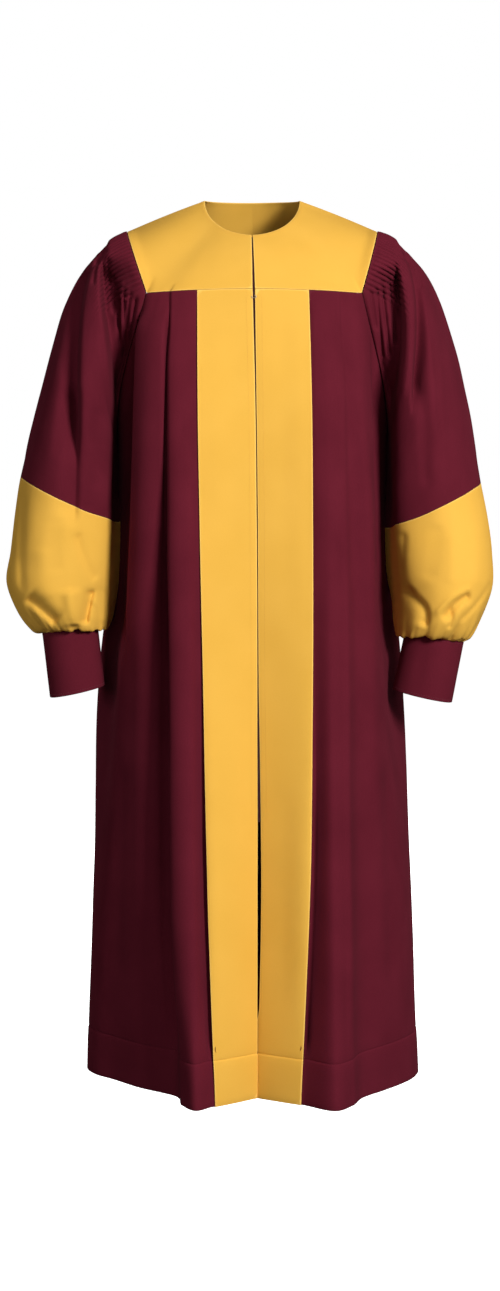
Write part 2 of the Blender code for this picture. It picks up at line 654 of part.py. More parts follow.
def tape_rows(body, yokes):
    """Rows of the zip tape, made from the panels' own points and moved in behind the slit."""
    inset = CLOTH / 2 + TAPE_CLEARANCE + TAPE_CLOTH / 2
    places = np.linspace(0, 1, TAPE_POINTS)
    full = np.full(TAPE_POINTS, TAPE_CLOTH)
    rows = []
    for right, left, right_normals, left_normals in (
        (yokes[0][0][1:-1], yokes[1][0][1:-1, ::-1], yokes[0][1][1:-1], yokes[1][1][1:-1, ::-1]),
        (body.points, body.points[:, ::-1], body.normals, body.normals[:, ::-1]),
    ):
        for k in range(len(right)):
            if right[k, 0, 2] < ZIP_END_LEVEL:
                break
            points = []
            directions = []
            for side, facing_out in ((right, right_normals), (left, left_normals)):
                part = TAPE_SIDE / np.linalg.norm(side[k, 1] - side[k, 0])
                points.append((side[k, 0] + (side[k, 1] - side[k, 0]) * part, side[k, 0]))
                beside = facing_out[k, 0] + (facing_out[k, 1] - facing_out[k, 0]) * part
                directions.append((beside, facing_out[k, 0]))
            ordered = np.array((*points[0], *points[1][::-1]))
            outward = np.array((*directions[0], *directions[1][::-1]))
            rows.append((places, ordered - outward * inset, outward, full))
    return rows


def hook_object(body):
    """Small wire hook that bridges the slit just below the yoke, lying on both panels."""
    edges = (body.points[:, 0], body.points[:, -1])
    sides = [[np.interp(-HOOK_HEIGHT, -edge[:, 2], edge[:, axis]) for axis in range(3)] for edge in edges]
    middle = np.mean(sides, axis=0)
    middle[1] -= CLOTH / 2 + SEAM_GAP + HOOK_WIRE
    turn = np.linspace(HOOK_START_ANGLE, HOOK_END_ANGLE, HOOK_POINTS)
    curve = bpy.data.curves.new("hook", "CURVE")
    curve.dimensions = "3D"
    curve.bevel_depth = HOOK_WIRE
    curve.bevel_resolution = 1
    curve.use_fill_caps = True
    spline = curve.splines.new("POLY")
    spline.points.add(len(turn) - 1)
    for point, angle in zip(spline.points, turn):
        x = middle[0] + HOOK_REACH * math.cos(angle)
        z = middle[2] + HOOK_RISE * math.sin(angle)
        point.co = (x, middle[1], z, 1.0)
    return bpy.data.objects.new("hook", curve)


def finish_material(name, finish):
    """Principled material with a colour and a roughness."""
    colour, roughness = finish
    material = bpy.data.materials.new(name)
    material.use_nodes = True
    shader = material.node_tree.nodes["Principled BSDF"]
    shader.inputs["Base Color"].default_value = (*colour, 1.0)
    shader.inputs["Roughness"].default_value = roughness
    shader.inputs["Metallic"].default_value = 0.0
    return material


def body_pieces(body):
    """Gold front panels, maroon side fronts and the maroon back."""
    gap = SEAM_GAP / 2
    count = len(body.names)
    side_right, side_left = body.sides
    ranges = (
        ("front_panel_right", 0, 1, GOLD, 0.0, gap),
        ("side_front_right", 1, side_right, MAROON, gap, gap),
        ("back", side_right, side_left, MAROON, gap, gap),
        ("side_front_left", side_left, count - 2, MAROON, gap, gap),
        ("front_panel_left", count - 2, count - 1, GOLD, gap, 0.0),
    )
    for name, first, last, finish, start, end in ranges:
        span = body.columns(first, last)
        points = draw_in(body.points[:, span], top=gap, start=start, end=end)
        yield cloth_wall(name, plain_rows(points, body.normals[:, span], CLOTH), closed=False), finish


def yoke_pieces(yokes):
    """Right front, left front and back of the gold yoke."""
    gap = SEAM_GAP / 2
    names = ("yoke_front_right", "yoke_front_left", "yoke_back")
    edges = ((0.0, gap), (gap, 0.0), (gap, gap))
    for name, (points, normals), (start, end) in zip(names, yokes, edges):
        drawn = draw_in(points, bottom=gap, start=start, end=end)
        yield cloth_wall(name, plain_rows(drawn, normals, CLOTH), closed=False), GOLD


def sleeve_pieces(body, yokes):
    """Maroon sleeve, gold lower sleeve and maroon cuff of each arm."""
    arms = (
        ("right", -1, RIGHT_SLEEVE_SECTIONS, RIGHT_SLEEVE_FOLDS, RIGHT_CUFF_SECTIONS),
        ("left", 1, LEFT_SLEEVE_SECTIONS, LEFT_SLEEVE_FOLDS, LEFT_CUFF_SECTIONS),
    )
    seam_row = [row[0] for row in SLEEVE_ROWS].index(float(SEAM_SECTION))
    for word, side, sections, folds, cuff in arms:
        rows = sleeve_rows(sections, folds, armhole(body, yokes, side), side)
        upper, lower = split_rows(rows, seam_row)
        turned = side < 0
        yield cloth_wall("sleeve_" + word, upper, closed=True, turned=turned), MAROON
        yield cloth_wall("lower_sleeve_" + word, lower, closed=True, turned=turned), GOLD
        yield cloth_wall("cuff_" + word, cuff_rows(cuff, side), closed=True, turned=turned), CUFF_MAROON


def main():
    """Build every piece of the robe and hang it from one empty."""
    clear_scene()
    collection = bpy.data.collections.new(COLLECTION_NAME)
    bpy.context.scene.collection.children.link(collection)
    holder = bpy.data.objects.new("robe", None)
    collection.objects.link(holder)
    body = Body()
    yokes = yoke_grids(body)
    pieces = list(body_pieces(body)) + list(yoke_pieces(yokes)) + list(sleeve_pieces(body, yokes))
    tape = cloth_wall("front_zip", tape_rows(body, yokes), closed=False, turned=True)
    pieces.append((tape, ZIP_MAROON))
    pieces.append((hook_object(body), HOOK_METAL))
    for piece, finish in pieces:
        piece.data.materials.append(finish_material(piece.name, finish))
        piece.parent = holder
        collection.objects.link(piece)


if __name__ == "__main__":
    main()
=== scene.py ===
"""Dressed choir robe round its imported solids: fine cloth, weave, seams, stitches, zip and hook.

Metres, +Z up. The origin lies midway between the two points where the neckline meets the
shoulder seams, +X is the wearer's left and -Y is the front.
"""
import logging
import math
from collections.abc import Iterator
from dataclasses import dataclass, field
from enum import Enum
from typing import NamedTuple

import bpy
import numpy as np
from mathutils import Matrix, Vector, noise


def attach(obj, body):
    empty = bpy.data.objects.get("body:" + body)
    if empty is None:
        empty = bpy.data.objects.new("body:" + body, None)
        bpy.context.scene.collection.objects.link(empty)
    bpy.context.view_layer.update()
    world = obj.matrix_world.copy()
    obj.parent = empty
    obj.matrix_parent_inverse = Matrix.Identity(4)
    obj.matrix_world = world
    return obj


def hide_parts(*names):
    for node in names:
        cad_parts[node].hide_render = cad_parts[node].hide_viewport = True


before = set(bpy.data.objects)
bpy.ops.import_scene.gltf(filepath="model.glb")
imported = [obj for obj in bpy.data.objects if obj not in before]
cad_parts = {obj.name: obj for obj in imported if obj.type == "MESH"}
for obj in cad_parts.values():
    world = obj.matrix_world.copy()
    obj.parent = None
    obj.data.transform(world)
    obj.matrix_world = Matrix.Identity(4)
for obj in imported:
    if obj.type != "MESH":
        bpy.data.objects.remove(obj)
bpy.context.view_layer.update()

LOG = logging.getLogger("choir_robe")
MM = 0.001
TINY = 1e-9
BODY = "root"

# Cloth
CLOTH = 1.2 * MM
CUFF_CLOTH = 2.2 * MM
TAPE_CLOTH = 1.0 * MM
SEAM_GAP = 0.36 * MM
TAPE_CLEARANCE = 0.9 * MM
HEM_DEPTH = 62 * MM
ZIP_END = -845 * MM
# Rounded free edges: how far in from the edge, in half thicknesses, an extra row of points lies
RIM_STEPS = (0.0, 0.18, 0.55, 1.0)
BAR_SIDES = 6
UV_NAME = "cloth"
EDGE_NAME = "from_edge"
# Creases: steps read along each path, share of it that fades at either end, and how fast a crease
# comes in where the cloth turns to face it
CREASE_STEPS = 13
CREASE_FADE = 0.14
CREASE_FACING = 2.4
# The cloth's unevenness is drawn out down it by this share
CLOTH_NOISE_STRETCH = 0.45
# Inputs of a colour mix node
MIX_FIRST, MIX_SECOND = 6, 7


class Arm(Enum):
    """The two arms, by the sign of their X."""

    RIGHT = -1
    LEFT = 1


class Face(Enum):
    """The side of the robe on which a crease lies, by the sign of its Y."""

    FRONT = -1
    BACK = 1


class FoldLine(NamedTuple):
    """A fold line of the body: steps to the next line, then across and depth at each level, in mm."""

    name: str
    steps: int
    across: tuple
    depth: tuple


class Section(NamedTuple):
    """An oval section of a sleeve or cuff: outer and inner point, front and back depth, in mm."""

    name: str
    outer: float
    outer_height: float
    inner: float
    inner_height: float
    front: float
    back: float


class SleeveFold(NamedTuple):
    """A large fold of a sleeve: places round it at its top and foot, width, depth in mm, sections."""

    top: float
    foot: float
    width: float
    depth: float
    first: float
    last: float


class Crease(NamedTuple):
    """A soft trough (negative height) or ridge along a path of (across, height) points, in mm.

    left and right are its widths on either side, seen from the front and going down the path.
    """

    path: tuple
    height: float
    left: float
    right: float
    face: Face = Face.FRONT


# Heights of the levels at which the fold lines of the body are given, in millimetres
LEVELS = (-126, -272, -438, -645, -918, -1218)
RIGHT_FRONT_LINES = (
    FoldLine("slit", 3, (0.4, 4.0, 5.9, 6.9, 7.4, 6.5), (-122, -150, -162, -166, -168, -168)),
    FoldLine("panel edge", 1, (-74, -73, -70.4, -66, -60, -50.5), (-118, -156, -170, -187, -203, -215)),
    FoldLine("tuck", 2, (-78, -77, -74, -69.5, -64, -55), (-117.5, -155, -170, -184, -195, -216)),
    FoldLine("ridge", 3, (-91, -90, -87, -84, -81, -75), (-117, -154, -175, -196, -216, -236)),
    FoldLine("pleat edge", 1, (-107, -107, -106, -104.5, -102.5, -93.5),
             (-114, -148, -165, -182, -198, -205)),
    FoldLine("pleat foot", 2, (-110.5, -112, -113, -112.5, -111, -101),
             (-110.5, -136, -135, -138, -145, -160)),
    FoldLine("swell", 3, (-126, -135.5, -143, -152, -157, -154.5), (-107, -131, -131, -124, -118, -109)),
    FoldLine("yoke corner", 3, (-141.5, -157, -164, -177, -191, -192), (-100, -106, -98, -92, -80, -62)),
    FoldLine("arm", 3, (-165, -178, -179, -189, -212, -219), (-62, -56, -46, -42, -35, -30)),
    FoldLine("side", 2, (-179, -185, -189, -214, -223, -232), (0, 2, 34, 34, 25, 14)),
)
LEFT_FRONT_LINES = (
    FoldLine("slit", 3, (3.6, 5.5, 7.4, 8.4, 11.8, 7.2), (-122, -150, -162, -166, -168, -168)),
    FoldLine("panel edge", 1, (76, 79.5, 81, 81, 77.5, 66), (-118, -156, -171, -187, -200, -205)),
    FoldLine("tuck", 2, (80, 83.5, 85, 84.5, 81.5, 70.5), (-117.5, -155, -171, -184, -192, -206)),
    FoldLine("ridge", 3, (97, 101, 103.5, 104.5, 106, 110), (-116, -154, -173, -193, -214, -238)),
    FoldLine("pleat edge", 1, (114, 118, 119.5, 124, 127, 135), (-113, -147, -164, -180, -199, -207)),
    FoldLine("pleat foot", 2, (118.5, 125, 130, 136, 140, 148), (-109.5, -137, -148, -155, -163, -170)),
    FoldLine("swell", 3, (134, 147, 157, 162, 174, 181), (-105, -128, -131, -127, -124, -124)),
    FoldLine("yoke corner", 3, (147, 160, 167, 175, 193, 205), (-99, -106, -100, -95, -90, -88)),
    FoldLine("arm", 3, (166, 178, 180, 187, 212, 226), (-62, -56, -48, -45, -45, -46)),
    FoldLine("side", 2, (179, 185, 189, 209, 222, 233), (0, 2, 34, 34, 20, 4)),
)
BACK_LINES = (
    FoldLine("arm", 3, (-172, -179, -182, -203, -213, -220), (50, 56, 66, 72, 72, 66)),
    FoldLine("yoke corner", 2, (-146, -156, -161, -182, -194, -198), (96, 105, 105, 109, 112, 112)),
    FoldLine("first foot", 3, (-124, -131, -135, -147, -158, -163), (102, 112, 109, 106, 106, 99)),
    FoldLine("first ridge", 3, (-104, -110, -116, -124, -131, -135), (108, 124, 130, 141, 155, 161)),
    FoldLine("second foot", 3, (-78, -82, -84, -88, -92, -93), (108.5, 120, 118, 118, 121, 119)),
    FoldLine("second ridge", 3, (-52, -54, -58, -62, -66, -68), (113.5, 131, 138, 150, 166, 174)),
    FoldLine("third foot", 3, (-27, -28, -29, -31, -33, -35), (112, 124, 121, 121, 127, 129)),
)
CENTRE_BACK_LINE = FoldLine("centre", 3, (2, 3, 3, 4, 5, 6), (115, 132, 137, 145, 159, 168))

RIGHT_SLEEVE_SECTIONS = (
    Section("band", -200, -63, -188.5, -330, -110, 104),
    Section("crown", -227.5, -97, -189.5, -347, -117, 108),
    Section("bicep", -254.5, -150, -190.5, -365, -119, 106),
    Section("mid", -272.5, -208, -191, -386, -117, 99),
    Section("elbow", -289, -270, -191, -407, -114, 90),
    Section("low", -305, -328, -190, -426, -113, 80),
    Section("seam", -318, -381, -188.5, -443, -114, 72),
    Section("fill", -326.5, -432, -190, -482, -119, 64),
    Section("full", -332, -482, -192, -520, -125, 55),
    Section("fullest", -337, -526, -194.5, -552, -128, 46),
    Section("droop", -322, -561, -197, -578, -122, 34),
    Section("under", -300, -587, -203, -589, -106, 6),
    Section("gather", -290.0, -592.9, -211.2, -580.9, -95.3, -12.7),
)
LEFT_SLEEVE_SECTIONS = (
    Section("band", 201, -62, 188.5, -330, -110, 104),
    Section("crown", 228, -94, 189.5, -347, -117, 108),
    Section("bicep", 254, -144, 190.5, -365, -119, 106),
    Section("mid", 272.5, -200, 191, -388, -117, 99),
    Section("elbow", 288.5, -260, 191, -410, -114, 90),
    Section("low", 303, -320, 190.5, -431, -113, 80),
    Section("seam", 315, -389, 189, -451, -114, 72),
    Section("fill", 324.5, -440, 192, -488, -119, 64),
    Section("full", 330, -487, 196, -522, -125, 55),
    Section("fullest", 330.5, -530, 199, -552, -128, 46),
    Section("droop", 316, -572, 198.5, -586, -122, 34),
    Section("under", 301, -598, 201, -598, -106, 6),
    Section("gather", 292.3, -605.4, 208.8, -590.2, -95.3, -12.7),
)
RIGHT_CUFF_SECTIONS = (
    Section("top", -287.8, -592, -213.6, -580, -93, -15),
    Section("wrist", -276.8, -682, -204, -666, -102, -26),
)
LEFT_CUFF_SECTIONS = (
    Section("top", 290.2, -604.5, 211.7, -589.5, -93, -15),
    Section("wrist", 273.6, -689, 193.7, -671, -102, -26),
)
# Section at which the maroon sleeve meets the gold puff
SEAM_SECTION = 7
HIDDEN_SLEEVE_FOLDS = (
    SleeveFold(0.380, 0.380, 0.100, -9.0, 1.6, 9.5),
    SleeveFold(0.590, 0.590, 0.150, -18.0, 1.2, 11.5),
)
RIGHT_SLEEVE_FOLDS = (
    SleeveFold(0.020, 0.030, 0.060, -4.0, 1.0, 6.5),
    SleeveFold(0.930, 0.900, 0.055, 8.0, 1.2, 7.2),
    SleeveFold(0.850, 0.810, 0.055, -6.0, 1.5, 7.0),
    SleeveFold(0.780, 0.730, 0.050, 7.0, 1.5, 7.0),
    SleeveFold(0.060, 0.070, 0.055, -4.0, 7.2, 13.0),
    SleeveFold(0.130, 0.150, 0.045, 2.5, 7.4, 13.0),
    SleeveFold(0.285, 0.290, 0.045, 3.0, 7.4, 13.0),
    SleeveFold(0.900, 0.900, 0.050, 8.0, 7.4, 13.0),
    SleeveFold(0.780, 0.780, 0.050, 8.0, 7.4, 13.0),
    *HIDDEN_SLEEVE_FOLDS,
)
LEFT_SLEEVE_FOLDS = (
    SleeveFold(0.010, 0.020, 0.055, -4.0, 1.0, 6.5),
    SleeveFold(0.935, 0.910, 0.055, 8.0, 1.2, 7.2),
    SleeveFold(0.860, 0.820, 0.055, -6.0, 1.5, 7.0),
    SleeveFold(0.790, 0.740, 0.050, 7.0, 1.5, 7.0),
    SleeveFold(0.050, 0.050, 0.050, 2.5, 7.4, 13.0),
    SleeveFold(0.110, 0.120, 0.050, -3.0, 7.4, 13.0),
    SleeveFold(0.180, 0.185, 0.045, 3.0, 7.4, 13.0),
    SleeveFold(0.310, 0.310, 0.045, 3.0, 7.4, 13.0),
    SleeveFold(0.880, 0.880, 0.050, 8.0, 7.4, 13.0),
    SleeveFold(0.760, 0.760, 0.050, 8.0, 7.4, 13.0),
    *HIDDEN_SLEEVE_FOLDS,
)

# Creases of the worn cloth
BODY_CREASES = (
    Crease(((-150, -130), (-160, -200), (-164, -300), (-167, -400), (-172, -520), (-182, -640)),
           -20.0, 17, 4.0),
    Crease(((155, -130), (167, -200), (171, -300), (172, -400), (176, -520), (186, -640)), -20.0, 4.0, 15),
    Crease(((222, -1000), (223, -1060), (225, -1212)), 1.6, 2.5, 3.5),
    Crease(((-229, -900), (-230, -1050), (-231, -1212)), 1.4, 3.0, 2.5),
    Crease(((150, -330), (155, -480), (160, -640), (166, -860)), 2.4, 9, 12),
    Crease(((121, -140), (122, -300), (124, -600), (126, -900), (131, -1212)), 2.8, 2.4, 16),
    Crease(((-135, -330), (-138, -520), (-146, -760), (-150, -1010)), 2.2, 12, 9),
    Crease(((-110, -140), (-112, -200), (-113, -272), (-114, -438), (-115, -645), (-113, -918),
            (-102, -1215)), -4.0, 3.5, 3.0),
    Crease(((-114, -420), (-115, -560), (-115, -700), (-113, -918), (-102, -1215)), -7.0, 8, 3.5),
    Crease(((-138, -135), (-147, -200), (-151, -300), (-154, -400), (-160, -520), (-168, -640)),
           7.0, 4.5, 20),
    Crease(((-114, -150), (-115, -200), (-116, -272), (-117, -438), (-121, -645), (-122, -918),
            (-112, -1215)), 11.0, 30, 4.0),
    Crease(((-113, -130), (-114, -200), (-115, -300), (-116, -420), (-120, -600)), 6.0, 22, 4.0),
    Crease(((-106, -140), (-106, -272), (-105, -438), (-103, -645), (-101, -918), (-92, -1215)),
           8.0, 2.6, 17),
    Crease(((184, -760), (188, -900), (192, -1100)), -2.0, 10, 12),
    Crease(((-178, -760), (-182, -900), (-186, -1100)), -2.0, 12, 10),
    Crease(((-25, -165), (-28, -300), (-24, -520)), -0.7, 12, 14),
    Crease(((40, -150), (42, -320), (46, -610)), -0.8, 12, 14),
    Crease(((44, -780), (42, -930), (38, -1130)), -0.9, 12, 12),
    Crease(((-24, -700), (-26, -880), (-22, -1120)), 0.7, 14, 14),
    Crease(((-36, -930), (-18, -948), (-4, -955)), -0.5, 6, 6),
    Crease(((-96, -400), (-92, -700), (-88, -1000)), 1.2, 5, 6, Face.BACK),
    Crease(((88, -420), (94, -760), (98, -1120)), -1.6, 8, 8, Face.BACK),
    Crease(((-178, -420), (-186, -700), (-196, -1060)), -2.6, 10, 9, Face.BACK),
    Crease(((180, -400), (188, -720), (198, -1080)), -2.6, 9, 10, Face.BACK),
    Crease(((14, -160), (16, -420), (20, -800)), -1.4, 7, 7, Face.BACK),
    Crease(((-44, -700), (-50, -900), (-54, -1140)), -1.5, 6, 7, Face.BACK),
)
YOKE_CREASES = (
    Crease(((-50, -50), (-60, -80), (-69, -112)), -0.35, 9, 12),
    Crease(((-88, -40), (-96, -76), (-104, -112)), 0.30, 14, 12),
    Crease(((54, -52), (62, -80), (70, -112)), -0.40, 12, 9),
    Crease(((96, -44), (104, -78), (110, -114)), 0.30, 12, 14),
    Crease(((-30, -75), (-22, -100), (-18, -122)), -0.25, 9, 9),
    Crease(((-64, -30), (-70, -70), (-76, -110)), -0.9, 12, 12, Face.BACK),
    Crease(((60, -30), (68, -70), (76, -110)), -0.9, 12, 12, Face.BACK),
)
RIGHT_SLEEVE_CREASES = (
    Crease(((-223, -96), (-227, -118), (-232, -146), (-235, -178), (-236, -254), (-237, -370)),
           -26.0, 17, 3.2),
    Crease(((-236, -250), (-238, -340), (-242, -450)), -8.0, 20, 6.0),
    Crease(((-222, -100), (-225, -140), (-225, -195), (-225, -275), (-226, -350)), 3.0, 6, 14),
    Crease(((-213, -50), (-219, -66), (-222, -88), (-221, -106)), -5.0, 4, 2.6),
    Crease(((-228, -60), (-234, -78), (-238, -100)), -4.0, 4, 3.0),
    Crease(((-204, -50), (-207, -60), (-212, -74), (-210, -96)), -4.0, 3, 3.0),
    Crease(((-203, -78), (-202, -110), (-200, -140), (-195, -175), (-190, -215), (-186, -260),
            (-184, -320), (-185, -380), (-187, -430)), -38.0, 3.2, 28),
    Crease(((-209, -110), (-207, -150), (-202, -190), (-197, -230), (-194, -290), (-193, -370)), 3.5, 13, 6),
    Crease(((-202, -66), (-211, -92), (-215, -124)), -4.5, 3.5, 2.6),
    Crease(((-193, -82), (-194, -100), (-193, -122)), -4.0, 2.6, 2.6),
    Crease(((-186, -104), (-185, -128), (-187, -164)), -6.0, 2.4, 2.8),
    Crease(((-179, -112), (-180, -141), (-181, -170), (-179, -208)), -8.0, 2.6, 3.0),
    Crease(((-171, -122), (-172, -150), (-173, -195), (-176, -222)), -8.0, 2.6, 3.0),
    Crease(((-163, -126), (-167, -155), (-169, -184)), -7.0, 2.4, 2.8),
    Crease(((-156, -134), (-159, -155), (-165, -195), (-170, -228)), -8.0, 2.4, 3.0),
    Crease(((-175, -112), (-176, -146), (-177, -180)), 2.6, 2.4, 2.4),
    Crease(((-167, -120), (-169, -150), (-171, -180)), 2.6, 2.2, 2.2),
    Crease(((-194, -84), (-192, -104), (-190, -130), (-189, -160)), -4.0, 2.6, 3.0),
    Crease(((-262, -110), (-274, -190), (-284, -270), (-292, -345)), 2.6, 12, 16),
    Crease(((-250, -200), (-256, -280), (-264, -360)), -2.0, 8, 10),
    Crease(((-206, -280), (-208, -340), (-212, -400)), -2.2, 8, 7),
    Crease(((-220, -330), (-222, -380), (-226, -420)), 1.6, 8, 7),
    Crease(((-313, -392), (-314, -465), (-312, -540)), -3.4, 6, 7),
    Crease(((-237, -452), (-234, -473), (-222, -503), (-211, -520)), -3.6, 5, 7),
    Crease(((-286, -470), (-284, -510), (-276, -545)), 1.6, 13, 14),
    Crease(((-262, -430), (-266, -470), (-262, -510)), -1.4, 12, 12),
    Crease(((-308, -540), (-285, -558), (-262, -578)), -10.0, 7, 12),
    Crease(((-246, -528), (-244, -556), (-242, -582)), 7.0, 10, 10),
    Crease(((-216, -530), (-222, -556), (-227, -580)), -9.0, 8, 4),
    Crease(((-226, -540), (-208, -556), (-203, -580)), 2.0, 3, 4),
)
LEFT_SLEEVE_CREASES = (
    Crease(((203, -64), (213, -88), (220, -122), (222, -160), (221, -200), (218, -240), (216, -300)),
           -20.0, 2.6, 12),
    Crease(((208, -108), (212, -150), (212, -190), (208, -235), (200, -280)), 4.0, 6, 5),
    Crease(((193, -90), (196, -116), (200, -150), (201, -187), (198, -225), (192, -262), (187, -300),
            (186, -360), (188, -440)), -32.0, 26, 3.2),
    Crease(((160, -126), (163, -150), (168, -184)), -7.0, 2.8, 2.4),
    Crease(((168, -118), (170, -150), (174, -190), (178, -225)), -8.0, 3, 2.6),
    Crease(((176, -112), (178, -150), (183, -187), (186, -220)), -8.0, 3, 3),
    Crease(((185, -104), (188, -140), (192, -175), (194, -205)), -7.0, 3, 3),
    Crease(((193, -88), (196, -116), (198, -146)), -5.0, 2.6, 2.6),
    Crease(((181, -106), (184, -140), (188, -172)), 2.6, 2.4, 2.4),
    Crease(((214, -56), (222, -74), (228, -100), (231, -130)), -4.5, 3.0, 4),
    Crease(((226, -58), (234, -78), (240, -108), (243, -140)), -3.5, 3, 5),
    Crease(((204, -48), (208, -62), (214, -80)), -3.5, 3, 3),
    Crease(((229, -95), (235, -170), (241, -237), (247, -345)), 2.4, 8.0, 4.0),
    Crease(((246, -100), (256, -180), (264, -260), (272, -350)), -2.4, 8, 14),
    Crease(((268, -120), (282, -220), (292, -300), (300, -365)), 2.0, 12, 12),
    Crease(((226, -250), (232, -320), (236, -400)), -2.6, 8, 9),
    Crease(((206, -452), (205, -478), (200, -512)), -3.5, 9, 5.0),
    Crease(((205, -524), (222, -541), (234, -554), (237, -568), (233, -584)), -8.0, 11, 3.5),
    Crease(((300, -526), (268, -541), (244, -566)), 2.8, 3.0, 4),
    Crease(((296, -536), (276, -550), (258, -572)), -7.0, 6, 6),
    Crease(((264, -552), (270, -568), (265, -584)), -3.2, 3.0, 3.5),
    Crease(((328, -520), (310, -544), (280, -576)), -3.0, 4, 4),
    Crease(((300, -440), (304, -490), (300, -530)), 1.6, 12, 12),
    Crease(((250, -440), (246, -480), (238, -520)), -1.8, 11, 11),
    Crease(((268, -450), (272, -490), (268, -525)), 1.2, 9, 9),
)
# How a front crease of a sleeve is repeated behind it: smaller, a little lower, and softer
BACK_CREASE_SHARE = 0.75
BACK_CREASE_DROP = 14
BACK_CREASE_SOFTENING = 1.5


def smooth(knots: np.ndarray, values: np.ndarray, places: np.ndarray) -> np.ndarray:
    """Read a smooth curve through the values at the knots, at the given places.

    Args:
        knots: Increasing places of the values.
        values: Values at the knots, along the first axis.
        places: Where to read the curve.

    Returns:
        The values read, along the first axis.
    """
    knots = np.asarray(knots, float)
    values = np.asarray(values, float)
    places = np.clip(np.asarray(places, float), knots[0], knots[-1])
    column = (-1,) + (1,) * (values.ndim - 1)
    step = np.diff(knots)
    slope = np.diff(values, axis=0) / step.reshape(column)
    before = step[:-1].reshape(column)
    after = step[1:].reshape(column)
    tangent = np.empty_like(values)
    tangent[0] = slope[0]
    tangent[-1] = slope[-1]
    tangent[1:-1] = (slope[:-1] * after + slope[1:] * before) / (before + after)
    first = np.clip(np.searchsorted(knots, places, side="right") - 1, 0, len(step) - 1)
    part = ((places - knots[first]) / step[first]).reshape(column)
    length = step[first].reshape(column)
    rest = 1 - part
    ends = values[first] * (1 + 2 * part) * rest**2 + values[first + 1] * (3 - 2 * part) * part**2
    bends = tangent[first] * part * rest**2 - tangent[first + 1] * part**2 * rest
    return ends + length * bends


def unit(vectors: np.ndarray) -> np.ndarray:
    """Scale each vector to length one."""
    return vectors / np.maximum(np.linalg.norm(vectors, axis=-1, keepdims=True), TINY)


def ease(share: np.ndarray) -> np.ndarray:
    """Soft step from zero to one as the share goes from zero to one."""
    share = np.clip(share, 0.0, 1.0)
    return share * share * (3 - 2 * share)


def around(places: np.ndarray, middle: float) -> np.ndarray:
    """Signed distance round a sleeve from a place, as a share of the way round."""
    return np.mod(np.asarray(places) - middle + 0.5, 1.0) - 0.5


def lengths_along(points: np.ndarray, axis: int) -> np.ndarray:
    """Length of cloth from the first point to each other along an axis of a grid of points.

    Args:
        points: Grid or path of points.
        axis: The axis.

    Returns:
        Lengths of the grid's shape.
    """
    hops = np.linalg.norm(np.diff(points, axis=axis), axis=-1)
    start = np.zeros_like(np.take(hops, [0], axis=axis))
    return np.cumsum(np.concatenate((start, hops), axis=axis), axis=axis)


def read_along(length: np.ndarray, values: np.ndarray, wanted: np.ndarray) -> np.ndarray:
    """Values of a path's points at the wanted lengths along it."""
    return np.stack([np.interp(wanted, length, values[:, axis]) for axis in range(3)], axis=-1)


def new_piece(name: str, places: np.ndarray, faces: list) -> bpy.types.Object:
    """Make a smooth piece from points and faces, and put it in the scene.

    Args:
        name: Its name.
        places: Its points.
        faces: Its faces, as numbers of points.

    Returns:
        The new object.
    """
    mesh = bpy.data.meshes.new(name)
    mesh.from_pydata(places.reshape(-1, 3).tolist(), [], faces)
    mesh.shade_smooth()
    piece = bpy.data.objects.new(name, mesh)
    bpy.context.scene.collection.objects.link(piece)
    return piece


def add_bar(radius: float, length: float) -> bpy.types.Object:
    """Add a six-sided bar along X, the start of a stitch or a tooth, and select all of it to be shaped.

    Args:
        radius: The bar's radius.
        length: Its length.

    Returns:
        The bar, in edit mode.
    """
    bpy.ops.object.select_all(action="DESELECT")
    bpy.ops.mesh.primitive_cylinder_add(vertices=BAR_SIDES, radius=radius, depth=length,
                                        rotation=(0, math.pi / 2, 0))
    bpy.ops.object.transform_apply(location=False, rotation=True, scale=False)
    bpy.ops.object.mode_set(mode="EDIT")
    bpy.ops.mesh.select_all(action="SELECT")
    return bpy.context.object


def take_shape(piece: bpy.types.Object) -> tuple[np.ndarray, list]:
    """Leave edit mode, read a modelled piece's points and faces, and remove it.

    Args:
        piece: The piece.

    Returns:
        Its points and its faces.
    """
    bpy.ops.object.mode_set(mode="OBJECT")
    points = np.array([vertex.co[:] for vertex in piece.data.vertices])
    faces = [tuple(face.vertices) for face in piece.data.polygons]
    bpy.data.objects.remove(piece, do_unlink=True)
    return points, faces


